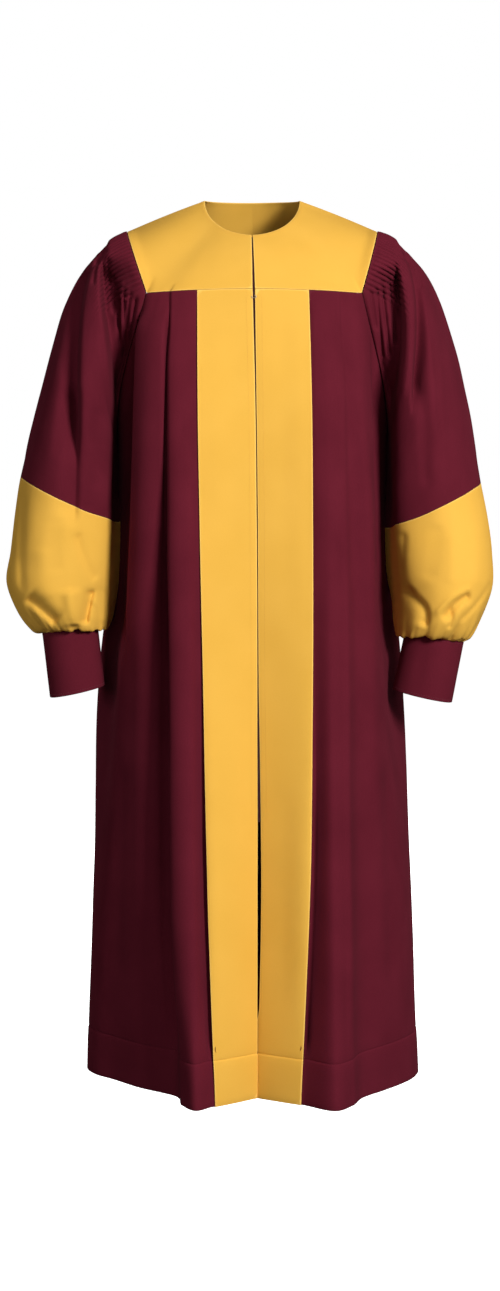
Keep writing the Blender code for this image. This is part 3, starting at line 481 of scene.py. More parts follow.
@dataclass
class Sheet:
    """The middle surface of a piece of cloth as a grid, rows down it and columns across it."""

    points: np.ndarray
    closed: bool = False
    turned: bool = False
    outward: np.ndarray | None = None

    def __post_init__(self) -> None:
        """Work out the normals where none are given."""
        if self.outward is None:
            self.outward = self.normals()

    def normals(self) -> np.ndarray:
        """Outward normals of the grid.

        Returns:
            A unit vector at each point.
        """
        down = np.gradient(self.points, axis=0)
        if self.closed:
            along = np.roll(self.points, -1, axis=1) - np.roll(self.points, 1, axis=1)
        else:
            along = np.gradient(self.points, axis=1)
        return unit(np.cross(down, along) if self.turned and self.closed else np.cross(along, down))

    def raise_by(self, height: np.ndarray) -> None:
        """Move the cloth out by a height at each point, and work its normals out again."""
        self.points = self.points + self.outward * height[..., None]
        self.outward = self.normals()

    def part(self, rows: slice, columns: slice) -> "Sheet":
        """A copy of some of the rows and columns, with the whole cloth's normals."""
        return Sheet(self.points[rows, columns].copy(), self.closed, self.turned,
                     self.outward[rows, columns].copy())

    def side_distance(self, start: bool) -> np.ndarray:
        """Distance of each point from the first or the last column, along the cloth."""
        along = lengths_along(self.points, 1)
        return along if start else along[:, -1:] - along

    def below_top(self, reach: float) -> np.ndarray:
        """Soft step from none at the top edge to all of it at a reach below."""
        return ease((self.points[:1, :, 2] - self.points[..., 2]) / reach)

    def lap(self, start: bool, depth: float, width: float, reach: tuple, share: np.ndarray) -> None:
        """Sink one side edge and carry it under the piece beside it.

        Args:
            start: Whether the edge is the first column.
            depth: How far the edge sinks.
            width: How far from the edge the cloth is changed.
            reach: Vector by which the edge is carried.
            share: How much of both each point has.
        """
        near = share * np.exp(-((self.side_distance(start) / width) ** 2))
        self.raise_by(-depth * near)
        self.points += near[..., None] * np.asarray(reach)

    def draw_in(self, top: float = 0.0, bottom: float = 0.0, start: float = 0.0, end: float = 0.0) -> None:
        """Pull the edges in along the cloth, to leave a seam's gap.

        Args:
            top: Distance at the first row.
            bottom: Distance at the last row.
            start: Distance at the first column.
            end: Distance at the last column.
        """
        points = self.points
        drawn = points.copy()
        drawn[0] += unit(points[1] - points[0]) * top
        drawn[-1] += unit(points[-2] - points[-1]) * bottom
        if start or end:
            drawn[:, 0] += unit(points[:, 1] - points[:, 0]) * start
            drawn[:, -1] += unit(points[:, -2] - points[:, -1]) * end
        self.points = drawn

    def rim(self, radius: float) -> tuple[np.ndarray, np.ndarray, np.ndarray]:
        """The grid with extra rows and columns that round its free edges.

        Args:
            radius: Half the cloth's thickness.

        Returns:
            Points, normals, and the share of the full thickness at each point.
        """
        fullness = np.sqrt(1 - (1 - np.asarray(RIM_STEPS)) ** 2)
        points, outward = self.points, self.outward
        share = np.ones(points.shape[:2])
        for axis in (0,) if self.closed else (0, 1):
            points, outward, share = (np.swapaxes(a, 0, 1) if axis else a for a in (points, outward, share))
            lead = unit(points[1] - points[0]) * radius
            tail = unit(points[-2] - points[-1]) * radius
            first = [points[0] + lead * step for step in RIM_STEPS]
            last = [points[-1] + tail * step for step in RIM_STEPS[::-1]]
            points = np.concatenate((first, points[1:-1], last))
            count = len(RIM_STEPS)
            outward = np.concatenate((np.repeat(outward[:1], count, 0), outward[1:-1],
                                      np.repeat(outward[-1:], count, 0)))
            share = np.concatenate((share[:1] * fullness[:, None], share[1:-1],
                                    share[-1:] * fullness[::-1, None]))
            points, outward, share = (np.swapaxes(a, 0, 1) if axis else a for a in (points, outward, share))
        return points, outward, share

    def wall(self, name: str, thickness: float, extra: np.ndarray | None = None) -> bpy.types.Object:
        """Build the piece as a closed wall with rounded free edges.

        Args:
            name: The piece's name.
            thickness: Thickness of the cloth.
            extra: Thickness added at each row.

        Returns:
            The new object, with a UV map in metres along the cloth and its distance from an edge.
        """
        points, outward, share = self.rim(thickness / 2)
        rows, columns = points.shape[:2]
        half = share * thickness / 2
        if extra is not None:
            stretched = np.interp(np.linspace(0, 1, rows), np.linspace(0, 1, len(extra)), extra)
            half = share * (thickness + stretched[:, None]) / 2
        edge = share < TINY
        outer = np.arange(rows * columns).reshape(rows, columns)
        inner = outer.copy()
        inner[~edge] = rows * columns + np.arange((~edge).sum())
        places = np.concatenate(((points + outward * half[..., None]).reshape(-1, 3),
                                 (points - outward * half[..., None])[~edge]))
        across = lengths_along(points, 1)
        down = lengths_along(points, 0)
        u = across.mean(axis=0)
        v = -down.mean(axis=1)
        if self.closed:
            u = np.append(u, u[-1] + np.linalg.norm(points[:, -1] - points[:, 0], axis=1).mean())
            outer, inner = (np.concatenate((a, a[:, :1]), axis=1) for a in (outer, inner))
        faces, uvs = [], []
        i, j = np.meshgrid(np.arange(rows - 1), np.arange(outer.shape[1] - 1), indexing="ij")
        corners = ((i, j), (i, j + 1), (i + 1, j + 1), (i + 1, j))
        for layer, order in ((outer, (0, 1, 2, 3)), (inner, (3, 2, 1, 0))):
            order = order[::-1] if self.turned else order
            faces.append(np.stack([layer[corners[k]] for k in order], axis=-1).reshape(-1, 4))
            uvs.append(np.stack([np.stack((u[corners[k][1]], v[corners[k][0]]), axis=-1) for k in order],
                                axis=-2).reshape(-1, 2))
        from_edge = np.minimum(down, down[-1] - down)
        if not self.closed:
            from_edge = np.minimum(from_edge, np.minimum(across, across[:, -1:] - across))
        piece = new_piece(name, places, np.concatenate(faces).tolist())
        piece.data.uv_layers.new(name=UV_NAME).data.foreach_set("uv", np.concatenate(uvs).ravel())
        attribute = piece.data.attributes.new(EDGE_NAME, "FLOAT", "POINT")
        attribute.data.foreach_set("value", np.concatenate((from_edge.ravel(), from_edge[~edge])))
        return piece


def crease_heights(sheet: Sheet, creases: tuple) -> np.ndarray:
    """Height of all the creases at each point of a sheet.

    Args:
        sheet: The cloth, whose points and normals tell where each crease falls.
        creases: The creases to lay on it.

    Returns:
        Heights along the normals, in metres.
    """
    across, level = sheet.points[..., 0], sheet.points[..., 2]
    total = np.zeros(across.shape)
    for crease in creases:
        knots = np.linspace(0, 1, len(crease.path))
        line = smooth(knots, np.asarray(crease.path) * MM, np.linspace(0, 1, CREASE_STEPS))
        near = np.full(across.shape, np.inf)
        signed = np.zeros(across.shape)
        along = np.zeros(across.shape)
        for k, (start, end) in enumerate(zip(line[:-1], line[1:])):
            run = end - start
            off = across - start[0], level - start[1]
            part = np.clip((off[0] * run[0] + off[1] * run[1]) / (run @ run), 0, 1)
            gap = off[0] - part * run[0], off[1] - part * run[1]
            distance = np.hypot(*gap)
            closer = distance < near
            near = np.where(closer, distance, near)
            signed = np.where(closer, run[0] * gap[1] - run[1] * gap[0], signed)
            along = np.where(closer, (k + part) / (CREASE_STEPS - 1), along)
        width = np.where(signed > 0, crease.right, crease.left) * MM
        fade = ease(along / CREASE_FADE) * ease((1 - along) / CREASE_FADE)
        facing = ease(CREASE_FACING * sheet.outward[..., 1] * crease.face.value)
        total += crease.height * MM * np.exp(-((near / width) ** 2)) * fade * facing
    return total


def behind(creases: tuple) -> tuple:
    """Softer, lower copies of the front creases for the hidden side of a sleeve.

    Args:
        creases: Creases of the front.

    Returns:
        The copies.
    """
    made = []
    for crease in creases:
        path = tuple((x, z - BACK_CREASE_DROP) for x, z in crease.path)
        left, right = crease.left * BACK_CREASE_SOFTENING, crease.right * BACK_CREASE_SOFTENING
        made.append(Crease(path, crease.height * BACK_CREASE_SHARE, left, right, Face.BACK))
    return tuple(made)


def unevenness(points: np.ndarray, size: float, height: float) -> np.ndarray:
    """Gentle hand of the cloth: smooth noise of a given size and height at each point.

    Args:
        points: Points of the cloth.
        size: Size of a wave.
        height: Largest height.

    Returns:
        Height at each point.
    """
    flat = points.reshape(-1, 3) / size
    values = [noise.noise(Vector((x, y, z * CLOTH_NOISE_STRETCH))) for x, y, z in flat]
    return np.asarray(values).reshape(points.shape[:-1]) * height


def uneven_hand(points: np.ndarray, sizes: tuple) -> np.ndarray:
    """Unevenness of several sizes and heights added up."""
    return sum(unevenness(points, size, height) for size, height in sizes)


def link(tree: bpy.types.NodeTree, source: bpy.types.Node, output: str, target: bpy.types.Node,
         socket: str | int) -> None:
    """Join an output of one node to an input of another."""
    tree.links.new(source.outputs[output], target.inputs[socket])


def shader_node(tree: bpy.types.NodeTree, kind: str, **values: float) -> bpy.types.Node:
    """Add a node of a kind with values on its inputs, in whose names an underscore is a space.

    Args:
        tree: The material's node tree.
        kind: The node's kind.
        values: Values of its inputs.

    Returns:
        The node.
    """
    made = tree.nodes.new("ShaderNode" + kind)
    for socket, value in values.items():
        made.inputs[socket.replace("_", " ")].default_value = value
    return made


def arithmetic(tree: bpy.types.NodeTree, operation: str, *terms: tuple | float) -> bpy.types.Node:
    """Add a math node on terms that are numbers, or a node and the name of its output.

    Args:
        tree: The material's node tree.
        operation: What it works out.
        terms: Its terms.

    Returns:
        The node.
    """
    made = tree.nodes.new("ShaderNodeMath")
    made.operation = operation
    for number, term in enumerate(terms):
        if isinstance(term, tuple):
            link(tree, *term, made, number)
        else:
            made.inputs[number].default_value = term
    return made


def colour_mix(tree: bpy.types.NodeTree, first: tuple, second: tuple) -> bpy.types.Node:
    """Add a mix of two colours, whose inputs of colour are MIX_FIRST and MIX_SECOND.

    Args:
        tree: The material's node tree.
        first: First colour.
        second: Second colour.

    Returns:
        The node.
    """
    made = tree.nodes.new("ShaderNodeMix")
    made.data_type = "RGBA"
    made.inputs[MIX_FIRST].default_value = (*first, 1.0)
    made.inputs[MIX_SECOND].default_value = (*second, 1.0)
    return made


def tinted(colour: tuple, share: float, lift: float = 0.0) -> tuple:
    """A colour made brighter or darker by a share and lifted, at most white."""
    return tuple(min(1.0, share * value + lift) for value in colour)


def new_material(name: str) -> tuple[bpy.types.Material, bpy.types.NodeTree, bpy.types.Node]:
    """Start a node material, and give it with its tree and its shader.

    Args:
        name: Its name.

    Returns:
        Material, tree and shader.
    """
    material = bpy.data.materials.new(name)
    material.use_nodes = True
    return material, material.node_tree, material.node_tree.nodes["Principled BSDF"]


@dataclass(frozen=True)
class ClothFinish:
    """Woven cloth: its colour, the fleck and bloom of its yarn, a painted highlight along its edges, its
    sheen and its weave.
    """

    name: str
    colour: tuple
    dark: tuple
    light: tuple
    roughness: float = 0.78
    sheen: float = 0.02
    sheen_tint: tuple = (1.0, 0.8, 0.7)
    thread: float = 0.55 * MM
    # Painted highlight along the pressed edges: within a width of the edge the colour is lightened by a gain
    # and a lift, up to a share
    relief: float = 0.10 * MM
    edge_highlight_width: float = 2.0 * MM
    edge_highlight_share: float = 0.8
    edge_highlight_gain: float = 1.3
    edge_highlight_lift: float = 0.02
    specular: float = 0.0
    sheen_roughness: float = 0.45
    fleck_scale: float = 520.0
    bloom_scale: float = 14.0
    fleck_share: float = 0.4
    bloom_share: float = 0.6
    tone_share: float = 0.5
    roughness_spread: tuple = (-0.05, 0.07)
    weave_strength: float = 0.35
    slub_strength: float = 0.5

    def material(self) -> bpy.types.Material:
        """Build the material.

        Returns:
            A node material that follows the piece's own UV map, in metres along the cloth.
        """
        material, tree, shader = new_material(self.name)
        shader.inputs["Sheen Weight"].default_value = self.sheen
        shader.inputs["Sheen Roughness"].default_value = self.sheen_roughness
        shader.inputs["Sheen Tint"].default_value = (*self.sheen_tint, 1.0)
        shader.inputs["Specular IOR Level"].default_value = self.specular
        uv = tree.nodes.new("ShaderNodeUVMap")
        uv.uv_map = UV_NAME
        weave = self.weave(tree, uv)
        fleck = shader_node(tree, "TexNoise", Scale=self.fleck_scale, Detail=4.0)
        bloom = shader_node(tree, "TexNoise", Scale=self.bloom_scale, Detail=2.0)
        for noise_node in (fleck, bloom):
            link(tree, uv, "UV", noise_node, "Vector")
        tone = colour_mix(tree, self.dark, self.light)
        half = arithmetic(tree, "MULTIPLY", (fleck, "Fac"), self.fleck_share)
        added = arithmetic(tree, "MULTIPLY_ADD", (bloom, "Fac"), self.bloom_share, (half, "Value"))
        link(tree, added, "Value", tone, "Factor")
        soft = colour_mix(tree, self.colour, self.colour)
        soft.inputs["Factor"].default_value = self.tone_share
        link(tree, tone, "Result", soft, MIX_SECOND)
        # Painted highlight: the colour is lightened near the cloth's edges, standing in for light caught on
        # the rounded pressed edges
        pressed = colour_mix(tree, self.colour, tinted(self.colour, self.edge_highlight_gain, self.edge_highlight_lift))
        link(tree, soft, "Result", pressed, MIX_FIRST)
        link(tree, self.edge(tree), "Result", pressed, "Factor")
        link(tree, pressed, "Result", shader, "Base Color")
        low, high = (self.roughness + part for part in self.roughness_spread)
        rough = shader_node(tree, "MapRange", To_Min=low, To_Max=high)
        link(tree, fleck, "Fac", rough, "Value")
        link(tree, rough, "Result", shader, "Roughness")
        self.bump(tree, weave, fleck, shader)
        return material

    def weave(self, tree: bpy.types.NodeTree, uv: bpy.types.Node) -> bpy.types.Node:
        """Height of a plain weave: warp and weft threads that cross one over and one under.

        Args:
            tree: The material's node tree.
            uv: Node of the cloth's coordinates.

        Returns:
            Node of the height.
        """
        split = tree.nodes.new("ShaderNodeSeparateXYZ")
        link(tree, uv, "UV", split, "Vector")
        turns = [arithmetic(tree, "MULTIPLY", (split, axis), math.pi / self.thread) for axis in ("X", "Y")]
        waves = [(arithmetic(tree, "SINE", (turn, "Value")), "Value") for turn in turns]
        return arithmetic(tree, "MULTIPLY", *waves)

    def edge(self, tree: bpy.types.NodeTree) -> bpy.types.Node:
        """Mask of the pressed edges, where a painted highlight makes the cloth's colour a little lighter.

        Args:
            tree: The material's node tree.

        Returns:
            Node of the mask.
        """
        attribute = tree.nodes.new("ShaderNodeAttribute")
        attribute.attribute_name = EDGE_NAME
        ramp = shader_node(tree, "MapRange", From_Max=self.edge_highlight_width, To_Min=self.edge_highlight_share, To_Max=0.0)
        link(tree, attribute, "Fac", ramp, "Value")
        return ramp

    def bump(self, tree: bpy.types.NodeTree, weave: bpy.types.Node, fleck: bpy.types.Node,
             shader: bpy.types.Node) -> None:
        """Relief of the weave, with the yarn's unevenness over it.

        Args:
            tree: The material's node tree.
            weave: Height of the weave.
            fleck: Noise of the yarn.
            shader: The shader.
        """
        threads = shader_node(tree, "Bump", Strength=self.weave_strength, Distance=self.relief)
        link(tree, weave, "Value", threads, "Height")
        slubs = shader_node(tree, "Bump", Strength=self.slub_strength, Distance=self.relief * 2)
        link(tree, fleck, "Fac", slubs, "Height")
        link(tree, threads, "Normal", slubs, "Normal")
        link(tree, slubs, "Normal", shader, "Normal")


@dataclass(frozen=True)
class SolidFinish:
    """Hard or thread finish with a fine grain on Object coordinates."""

    name: str
    colour: tuple
    roughness: float
    metallic: float = 0.0
    grain: float = 900.0
    relief: float = 0.05 * MM
    glow: float = 0.0
    darker: float = 0.88
    lighter: float = 1.1
    roughness_spread: float = 0.06
    strength: float = 0.4

    def material(self) -> bpy.types.Material:
        """Build the material with a faint grain in its colour, roughness and relief.

        Returns:
            The material.
        """
        material, tree, shader = new_material(self.name)
        shader.inputs["Metallic"].default_value = self.metallic
        shader.inputs["Emission Color"].default_value = (1.0, 1.0, 1.0, 1.0)
        shader.inputs["Emission Strength"].default_value = self.glow
        coordinates = tree.nodes.new("ShaderNodeTexCoord")
        grain = shader_node(tree, "TexNoise", Scale=self.grain, Detail=2.0)
        link(tree, coordinates, "Object", grain, "Vector")
        tone = colour_mix(tree, tinted(self.colour, self.darker), tinted(self.colour, self.lighter))
        link(tree, grain, "Fac", tone, "Factor")
        link(tree, tone, "Result", shader, "Base Color")
        rough = shader_node(tree, "MapRange", To_Min=self.roughness - self.roughness_spread,
                            To_Max=min(1.0, self.roughness + self.roughness_spread))
        link(tree, grain, "Fac", rough, "Value")
        link(tree, rough, "Result", shader, "Roughness")
        relief = shader_node(tree, "Bump", Strength=self.strength, Distance=self.relief)
        link(tree, grain, "Fac", relief, "Height")
        link(tree, relief, "Normal", shader, "Normal")
        return material


# The edge settings of each cloth set the strength of the painted highlight along its edges
GOLD = ClothFinish("gold_cloth", (0.785, 0.432, 0.066), (0.690, 0.360, 0.040), (0.910, 0.520, 0.096),
                   sheen_tint=(1.0, 0.86, 0.62), edge_highlight_share=0.9, edge_highlight_lift=0.07)
MAROON = ClothFinish("maroon_cloth", (0.110, 0.0112, 0.0212), (0.044, 0.0040, 0.0082),
                     (0.182, 0.0196, 0.0364), sheen_tint=(1.0, 0.55, 0.60), edge_highlight_share=0.35)
CUFF_MAROON = ClothFinish("cuff_cloth", (0.104, 0.0108, 0.0200), (0.048, 0.0044, 0.0088),
                          (0.164, 0.0180, 0.0330), sheen_tint=(1.0, 0.55, 0.60), edge_highlight_share=0.40)
TAPE_MAROON = ClothFinish("tape_cloth", (0.050, 0.0080, 0.0130), (0.040, 0.0060, 0.0100),
                          (0.060, 0.0100, 0.0160), thread=0.8 * MM)
GOLD_THREAD = SolidFinish("gold_thread", (0.760, 0.395, 0.055), 0.6)
MAROON_THREAD = SolidFinish("maroon_thread", (0.105, 0.0130, 0.0230), 0.6)
ZIP_NYLON = SolidFinish("zip_nylon", (0.045, 0.0070, 0.0120), 0.42)
HOOK_METAL = SolidFinish("hook_metal", (0.560, 0.520, 0.480), 0.34, metallic=1.0, grain=2400.0)
FLOOR_PAINT = SolidFinish("pale_floor", (0.86, 0.86, 0.86), 0.9, grain=3.0, relief=0.0, glow=1.0)


class Materials:
    """Materials of the finishes, each made once."""

    def __init__(self) -> None:
        """Start with none made."""
        self.made: dict[str, bpy.types.Material] = {}

    def dress(self, piece: bpy.types.Object, finish: ClothFinish | SolidFinish) -> None:
        """Give a piece the material of a finish."""
        if finish.name not in self.made:
            self.made[finish.name] = finish.material()
        piece.data.materials.append(self.made[finish.name])


MATERIALS = Materials()


def place(piece: bpy.types.Object, finish: ClothFinish | SolidFinish, slot: str, *nodes: str) -> None:
    """Dress a piece, hang it on the robe's body, and let it stand for its solids.

    Args:
        piece: The new object.
        finish: Its finish.
        slot: Not used.
        nodes: Names of the solids that it stands for.
    """
    MATERIALS.dress(piece, finish)
    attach(piece, BODY)
    if nodes:
        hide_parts(*nodes)
    LOG.info("%s: %d faces", piece.name, len(piece.data.polygons))


@dataclass
class BodyCloth:
    """Gold front panels, maroon side fronts and the maroon back, as one cloth that is then parted."""

    fineness: int = 4
    rows_above_hem: int = 106
    rows_below_hem: int = 8
    top_calm: float = 45 * MM
    hand_sizes: tuple = ((90 * MM, 1.6 * MM), (34 * MM, 0.45 * MM))
    yoke_centre_height: float = -126.5 * MM
    yoke_corner_drop: float = 5 * MM
    underarm_height: float = -310 * MM
    back_sway: float = 6.0
    back_sway_growth: float = 0.8
    back_sway_start: float = 0.6
    back_sway_across_turn: float = 2.1
    back_sway_depth_turn: float = 1.7
    hem: float = HEM_DEPTH
    hem_groove: float = 0.8 * MM
    hem_groove_width: float = 1.5 * MM
    hem_thickening: float = 1.0 * MM
    hem_ramp: float = 2 * MM
    pressed_height: float = 0.55 * MM
    pressed_width: float = 2.2 * MM
    pressed_start: float = 12 * MM
    sliver_top: float = -800 * MM
    sliver_foot: float = -1158 * MM
    sliver_depth: float = 11 * MM
    sliver_width: float = 6 * MM
    sliver_top_ramp: float = 70 * MM
    sliver_foot_ramp: float = 30 * MM
    sliver_lap: float = 0.9
    foot_lap: float = 0.6
    seam_start: float = 40 * MM
    seam_depth: float = 3.6 * MM
    seam_width: float = 3.6 * MM
    seam_overlap: float = 3.4 * MM
    slit_overlap: float = 5.2 * MM
    side_depth: float = 2.9 * MM
    side_overlap: float = 2.4 * MM
    slit_overlap_top: float = -1092 * MM
    slit_ramp: float = 30 * MM
    names: list = field(init=False)

    def __post_init__(self) -> None:
        """Read the fold lines finely all round, then lay the creases and pressed edges on the cloth."""
        lines = self.lines()
        self.names = [line.name for line in lines]
        control = np.array([np.column_stack((line.across, line.depth)) for line in lines]) * MM
        chords = np.sqrt(np.linalg.norm(np.diff(control, axis=0), axis=2)).mean(axis=1)
        knots = np.concatenate(([0.0], np.cumsum(chords)))
        places, self.column = [], []
        for i, steps in enumerate(self.steps()):
            count = steps * self.fineness
            self.column.append(len(places))
            places += list(knots[i] + (knots[i + 1] - knots[i]) * np.arange(count) / count)
        self.column.append(len(places))
        places.append(knots[-1])
        levels = smooth(knots, control, places)
        self.corners = [self.column[i] for i, name in enumerate(self.names) if name == "yoke corner"]
        self.sides = [self.column[i] for i, name in enumerate(self.names) if name == "side"]
        top = self.top_heights(levels, np.array(places))
        points = []
        for edge, level in zip(top, levels):
            heights = self.row_heights(edge)
            points.append(np.column_stack((smooth(-np.asarray(LEVELS) * MM, level, -heights), heights)))
        points = np.array(points).swapaxes(0, 1)
        self.sheet = Sheet(points)
        worn = crease_heights(self.sheet, BODY_CREASES) + uneven_hand(points, self.hand_sizes)
        self.sheet.raise_by(worn * self.sheet.below_top(self.top_calm))
        self.sheet.raise_by(self.pressed() + self.hem_line())

    def row_heights(self, top: float) -> np.ndarray:
        """Heights of the rows of a column from its top edge to the hem, close together at the hem line.

        Args:
            top: Height of the top edge.

        Returns:
            Heights from the top down.
        """
        line = LEVELS[-1] * MM + self.hem
        near = line + self.hem_groove_width * np.array((1.0, 0.5, 0.0, -0.5, -1.0))
        above = np.linspace(top, line + 2 * self.hem_groove_width, self.rows_above_hem)
        below = np.linspace(line - 2 * self.hem_groove_width, LEVELS[-1] * MM, self.rows_below_hem)
        return np.concatenate((above, near, below))

    def lines(self) -> list[FoldLine]:
        """All fold lines in order: right front, back, and left front back to the slit.

        Returns:
            The fold lines.
        """
        fall = np.linspace(0, 1, len(LEVELS)) ** self.back_sway_growth
        mirrored = []
        for number, line in enumerate(BACK_LINES):
            turn = self.back_sway_across_turn * number + self.back_sway_start
            drift = self.back_sway * math.sin(turn) * fall
            swell = self.back_sway * math.cos(self.back_sway_depth_turn * number) * fall
            mirrored.append(FoldLine(line.name, line.steps, drift - np.asarray(line.across),
                                     np.asarray(line.depth) + swell))
        return [*RIGHT_FRONT_LINES, *BACK_LINES, CENTRE_BACK_LINE, *mirrored[::-1], *LEFT_FRONT_LINES[::-1]]

    def steps(self) -> list[int]:
        """Number of steps between each fold line and the next, all round the body.

        Returns:
            The numbers of steps.
        """
        right = [line.steps for line in RIGHT_FRONT_LINES]
        back = [line.steps for line in BACK_LINES]
        left = [line.steps for line in LEFT_FRONT_LINES]
        return right + back + [CENTRE_BACK_LINE.steps] + back[-2::-1] + [left[-1]] + left[-2::-1]

    def top_heights(self, levels: np.ndarray, places: np.ndarray) -> np.ndarray:
        """Height of the top edge at each column: the yoke's seam, or the armhole between corners.

        Args:
            levels: Points of the columns at each level.
            places: Places round it.

        Returns:
            A height for each column.
        """
        across = np.abs(levels[:, 0, 0]) / abs(levels[self.corners[0], 0, 0])
        top = self.yoke_centre_height - self.yoke_corner_drop * np.minimum(across, 1) ** 2
        corner = self.yoke_centre_height - self.yoke_corner_drop
        for front, side, back in zip(self.corners[0::2], self.sides, self.corners[1::2]):
            for i in range(front, back + 1):
                edge = front if i <= side else back
                part = (places[i] - places[edge]) / (places[side] - places[edge])
                top[i] = corner + (self.underarm_height - corner) * math.sin(part * math.pi / 2)
        return top

    def pressed(self) -> np.ndarray:
        """Crisp ridges along the pressed edges of the panels and the front pleats.

        Returns:
            Height at each point.
        """
        along = lengths_along(self.sheet.points, 1)
        total = np.zeros(along.shape)
        for name, column in zip(self.names, self.column):
            if name in ("panel edge", "pleat edge"):
                distance = along - along[:, column:column + 1]
                total += np.exp(-((distance / self.pressed_width) ** 2))
        return total * self.pressed_height * self.sheet.below_top(self.pressed_start)

    def hem_line(self) -> np.ndarray:
        """Groove where the hem is caught up, and the hem's double cloth below it.

        Returns:
            Height at each point.
        """
        above = self.sheet.points[..., 2] - LEVELS[-1] * MM - self.hem
        groove = -self.hem_groove * np.exp(-((above / self.hem_groove_width) ** 2))
        return groove + self.hem_thickening / 2 * ease(-above / self.hem_groove_width)

    def hem_rows(self) -> np.ndarray:
        """Thickness added at each row by the turned-up hem."""
        heights = self.sheet.points[:, 0, 2]
        return self.hem_thickening * ease((LEVELS[-1] * MM + self.hem - heights) / self.hem_ramp)

    def tuck_back(self, sheet: Sheet, start: bool) -> None:
        """Let a side front fall back behind the panel's edge low down, so that a dark gap shows.

        Args:
            sheet: The side front.
            start: Whether the edge is its first column.
        """
        height = sheet.points[..., 2]
        above_foot = (height - self.sliver_foot) / self.sliver_foot_ramp
        window = ease((self.sliver_top - height) / self.sliver_top_ramp) * ease(above_foot)
        gap = self.sliver_depth * window * np.exp(-((sheet.side_distance(start) / self.sliver_width) ** 2))
        calm = sheet.below_top(self.seam_start)
        share = calm * (1 + self.sliver_lap * window + self.foot_lap * np.exp(-(above_foot**2)))
        sheet.raise_by(-gap)
        reach = (self.seam_overlap if start else -self.seam_overlap, 0.0, 0.0)
        sheet.lap(start, self.seam_depth, self.seam_width, reach, share)

    def lap_slit(self, sheet: Sheet) -> None:
        """Let the left panel's slit edge pass behind the right one's at the hem."""
        share = ease((self.slit_overlap_top - sheet.points[..., 2]) / self.slit_ramp)
        sheet.lap(False, self.seam_depth, self.seam_width, (-self.slit_overlap, 0.0, 0.0), share)

    def lap_sides(self, sheet: Sheet) -> None:
        """Let the back's edges pass under the side fronts' at the side seams."""
        share = sheet.below_top(self.seam_start)
        for start in (True, False):
            sheet.lap(start, self.side_depth, self.seam_width, (0.0, -self.side_overlap, 0.0), share)

    def build(self) -> dict[str, Sheet]:
        """Part the cloth into its pieces and build each as a wall.

        Returns:
            The sheets of the pieces by name.
        """
        gap = SEAM_GAP / 2
        column = self.column
        side_right, side_left = self.sides
        cuts = (
            ("front_panel_right", 0, column[1], GOLD, 0.0, gap, (0.085, 1.110), 0.085),
            ("side_front_right", column[1], side_right, MAROON, gap, gap, (0.410, 1.110), 0.345),
            ("back", side_right, side_left, MAROON, gap, gap, (0.950, 1.110), 0.730),
            ("side_front_left", side_left, column[-2], MAROON, gap, gap, (0.390, 1.110), 0.297),
            ("front_panel_left", column[-2], column[-1], GOLD, gap, 0.0, (0.085, 1.110), 0.082),
        )
        sheets = {}
        for name, first, last, finish, start, end, flat, area in cuts:
            sheet = self.sheet.part(slice(None), slice(first, last + 1))
            sheet.draw_in(top=gap, start=start, end=end)
            if name.startswith("side_front"):
                self.tuck_back(sheet, name.endswith("right"))
            if name == "front_panel_left":
                self.lap_slit(sheet)
            if name == "back":
                self.lap_sides(sheet)
            piece = sheet.wall("cloth_" + name, CLOTH, self.hem_rows())
            slot = "gold_cloth" if finish is GOLD else "maroon_cloth"
            place(piece, finish, slot, name)
            sheets[name] = sheet
        return sheets


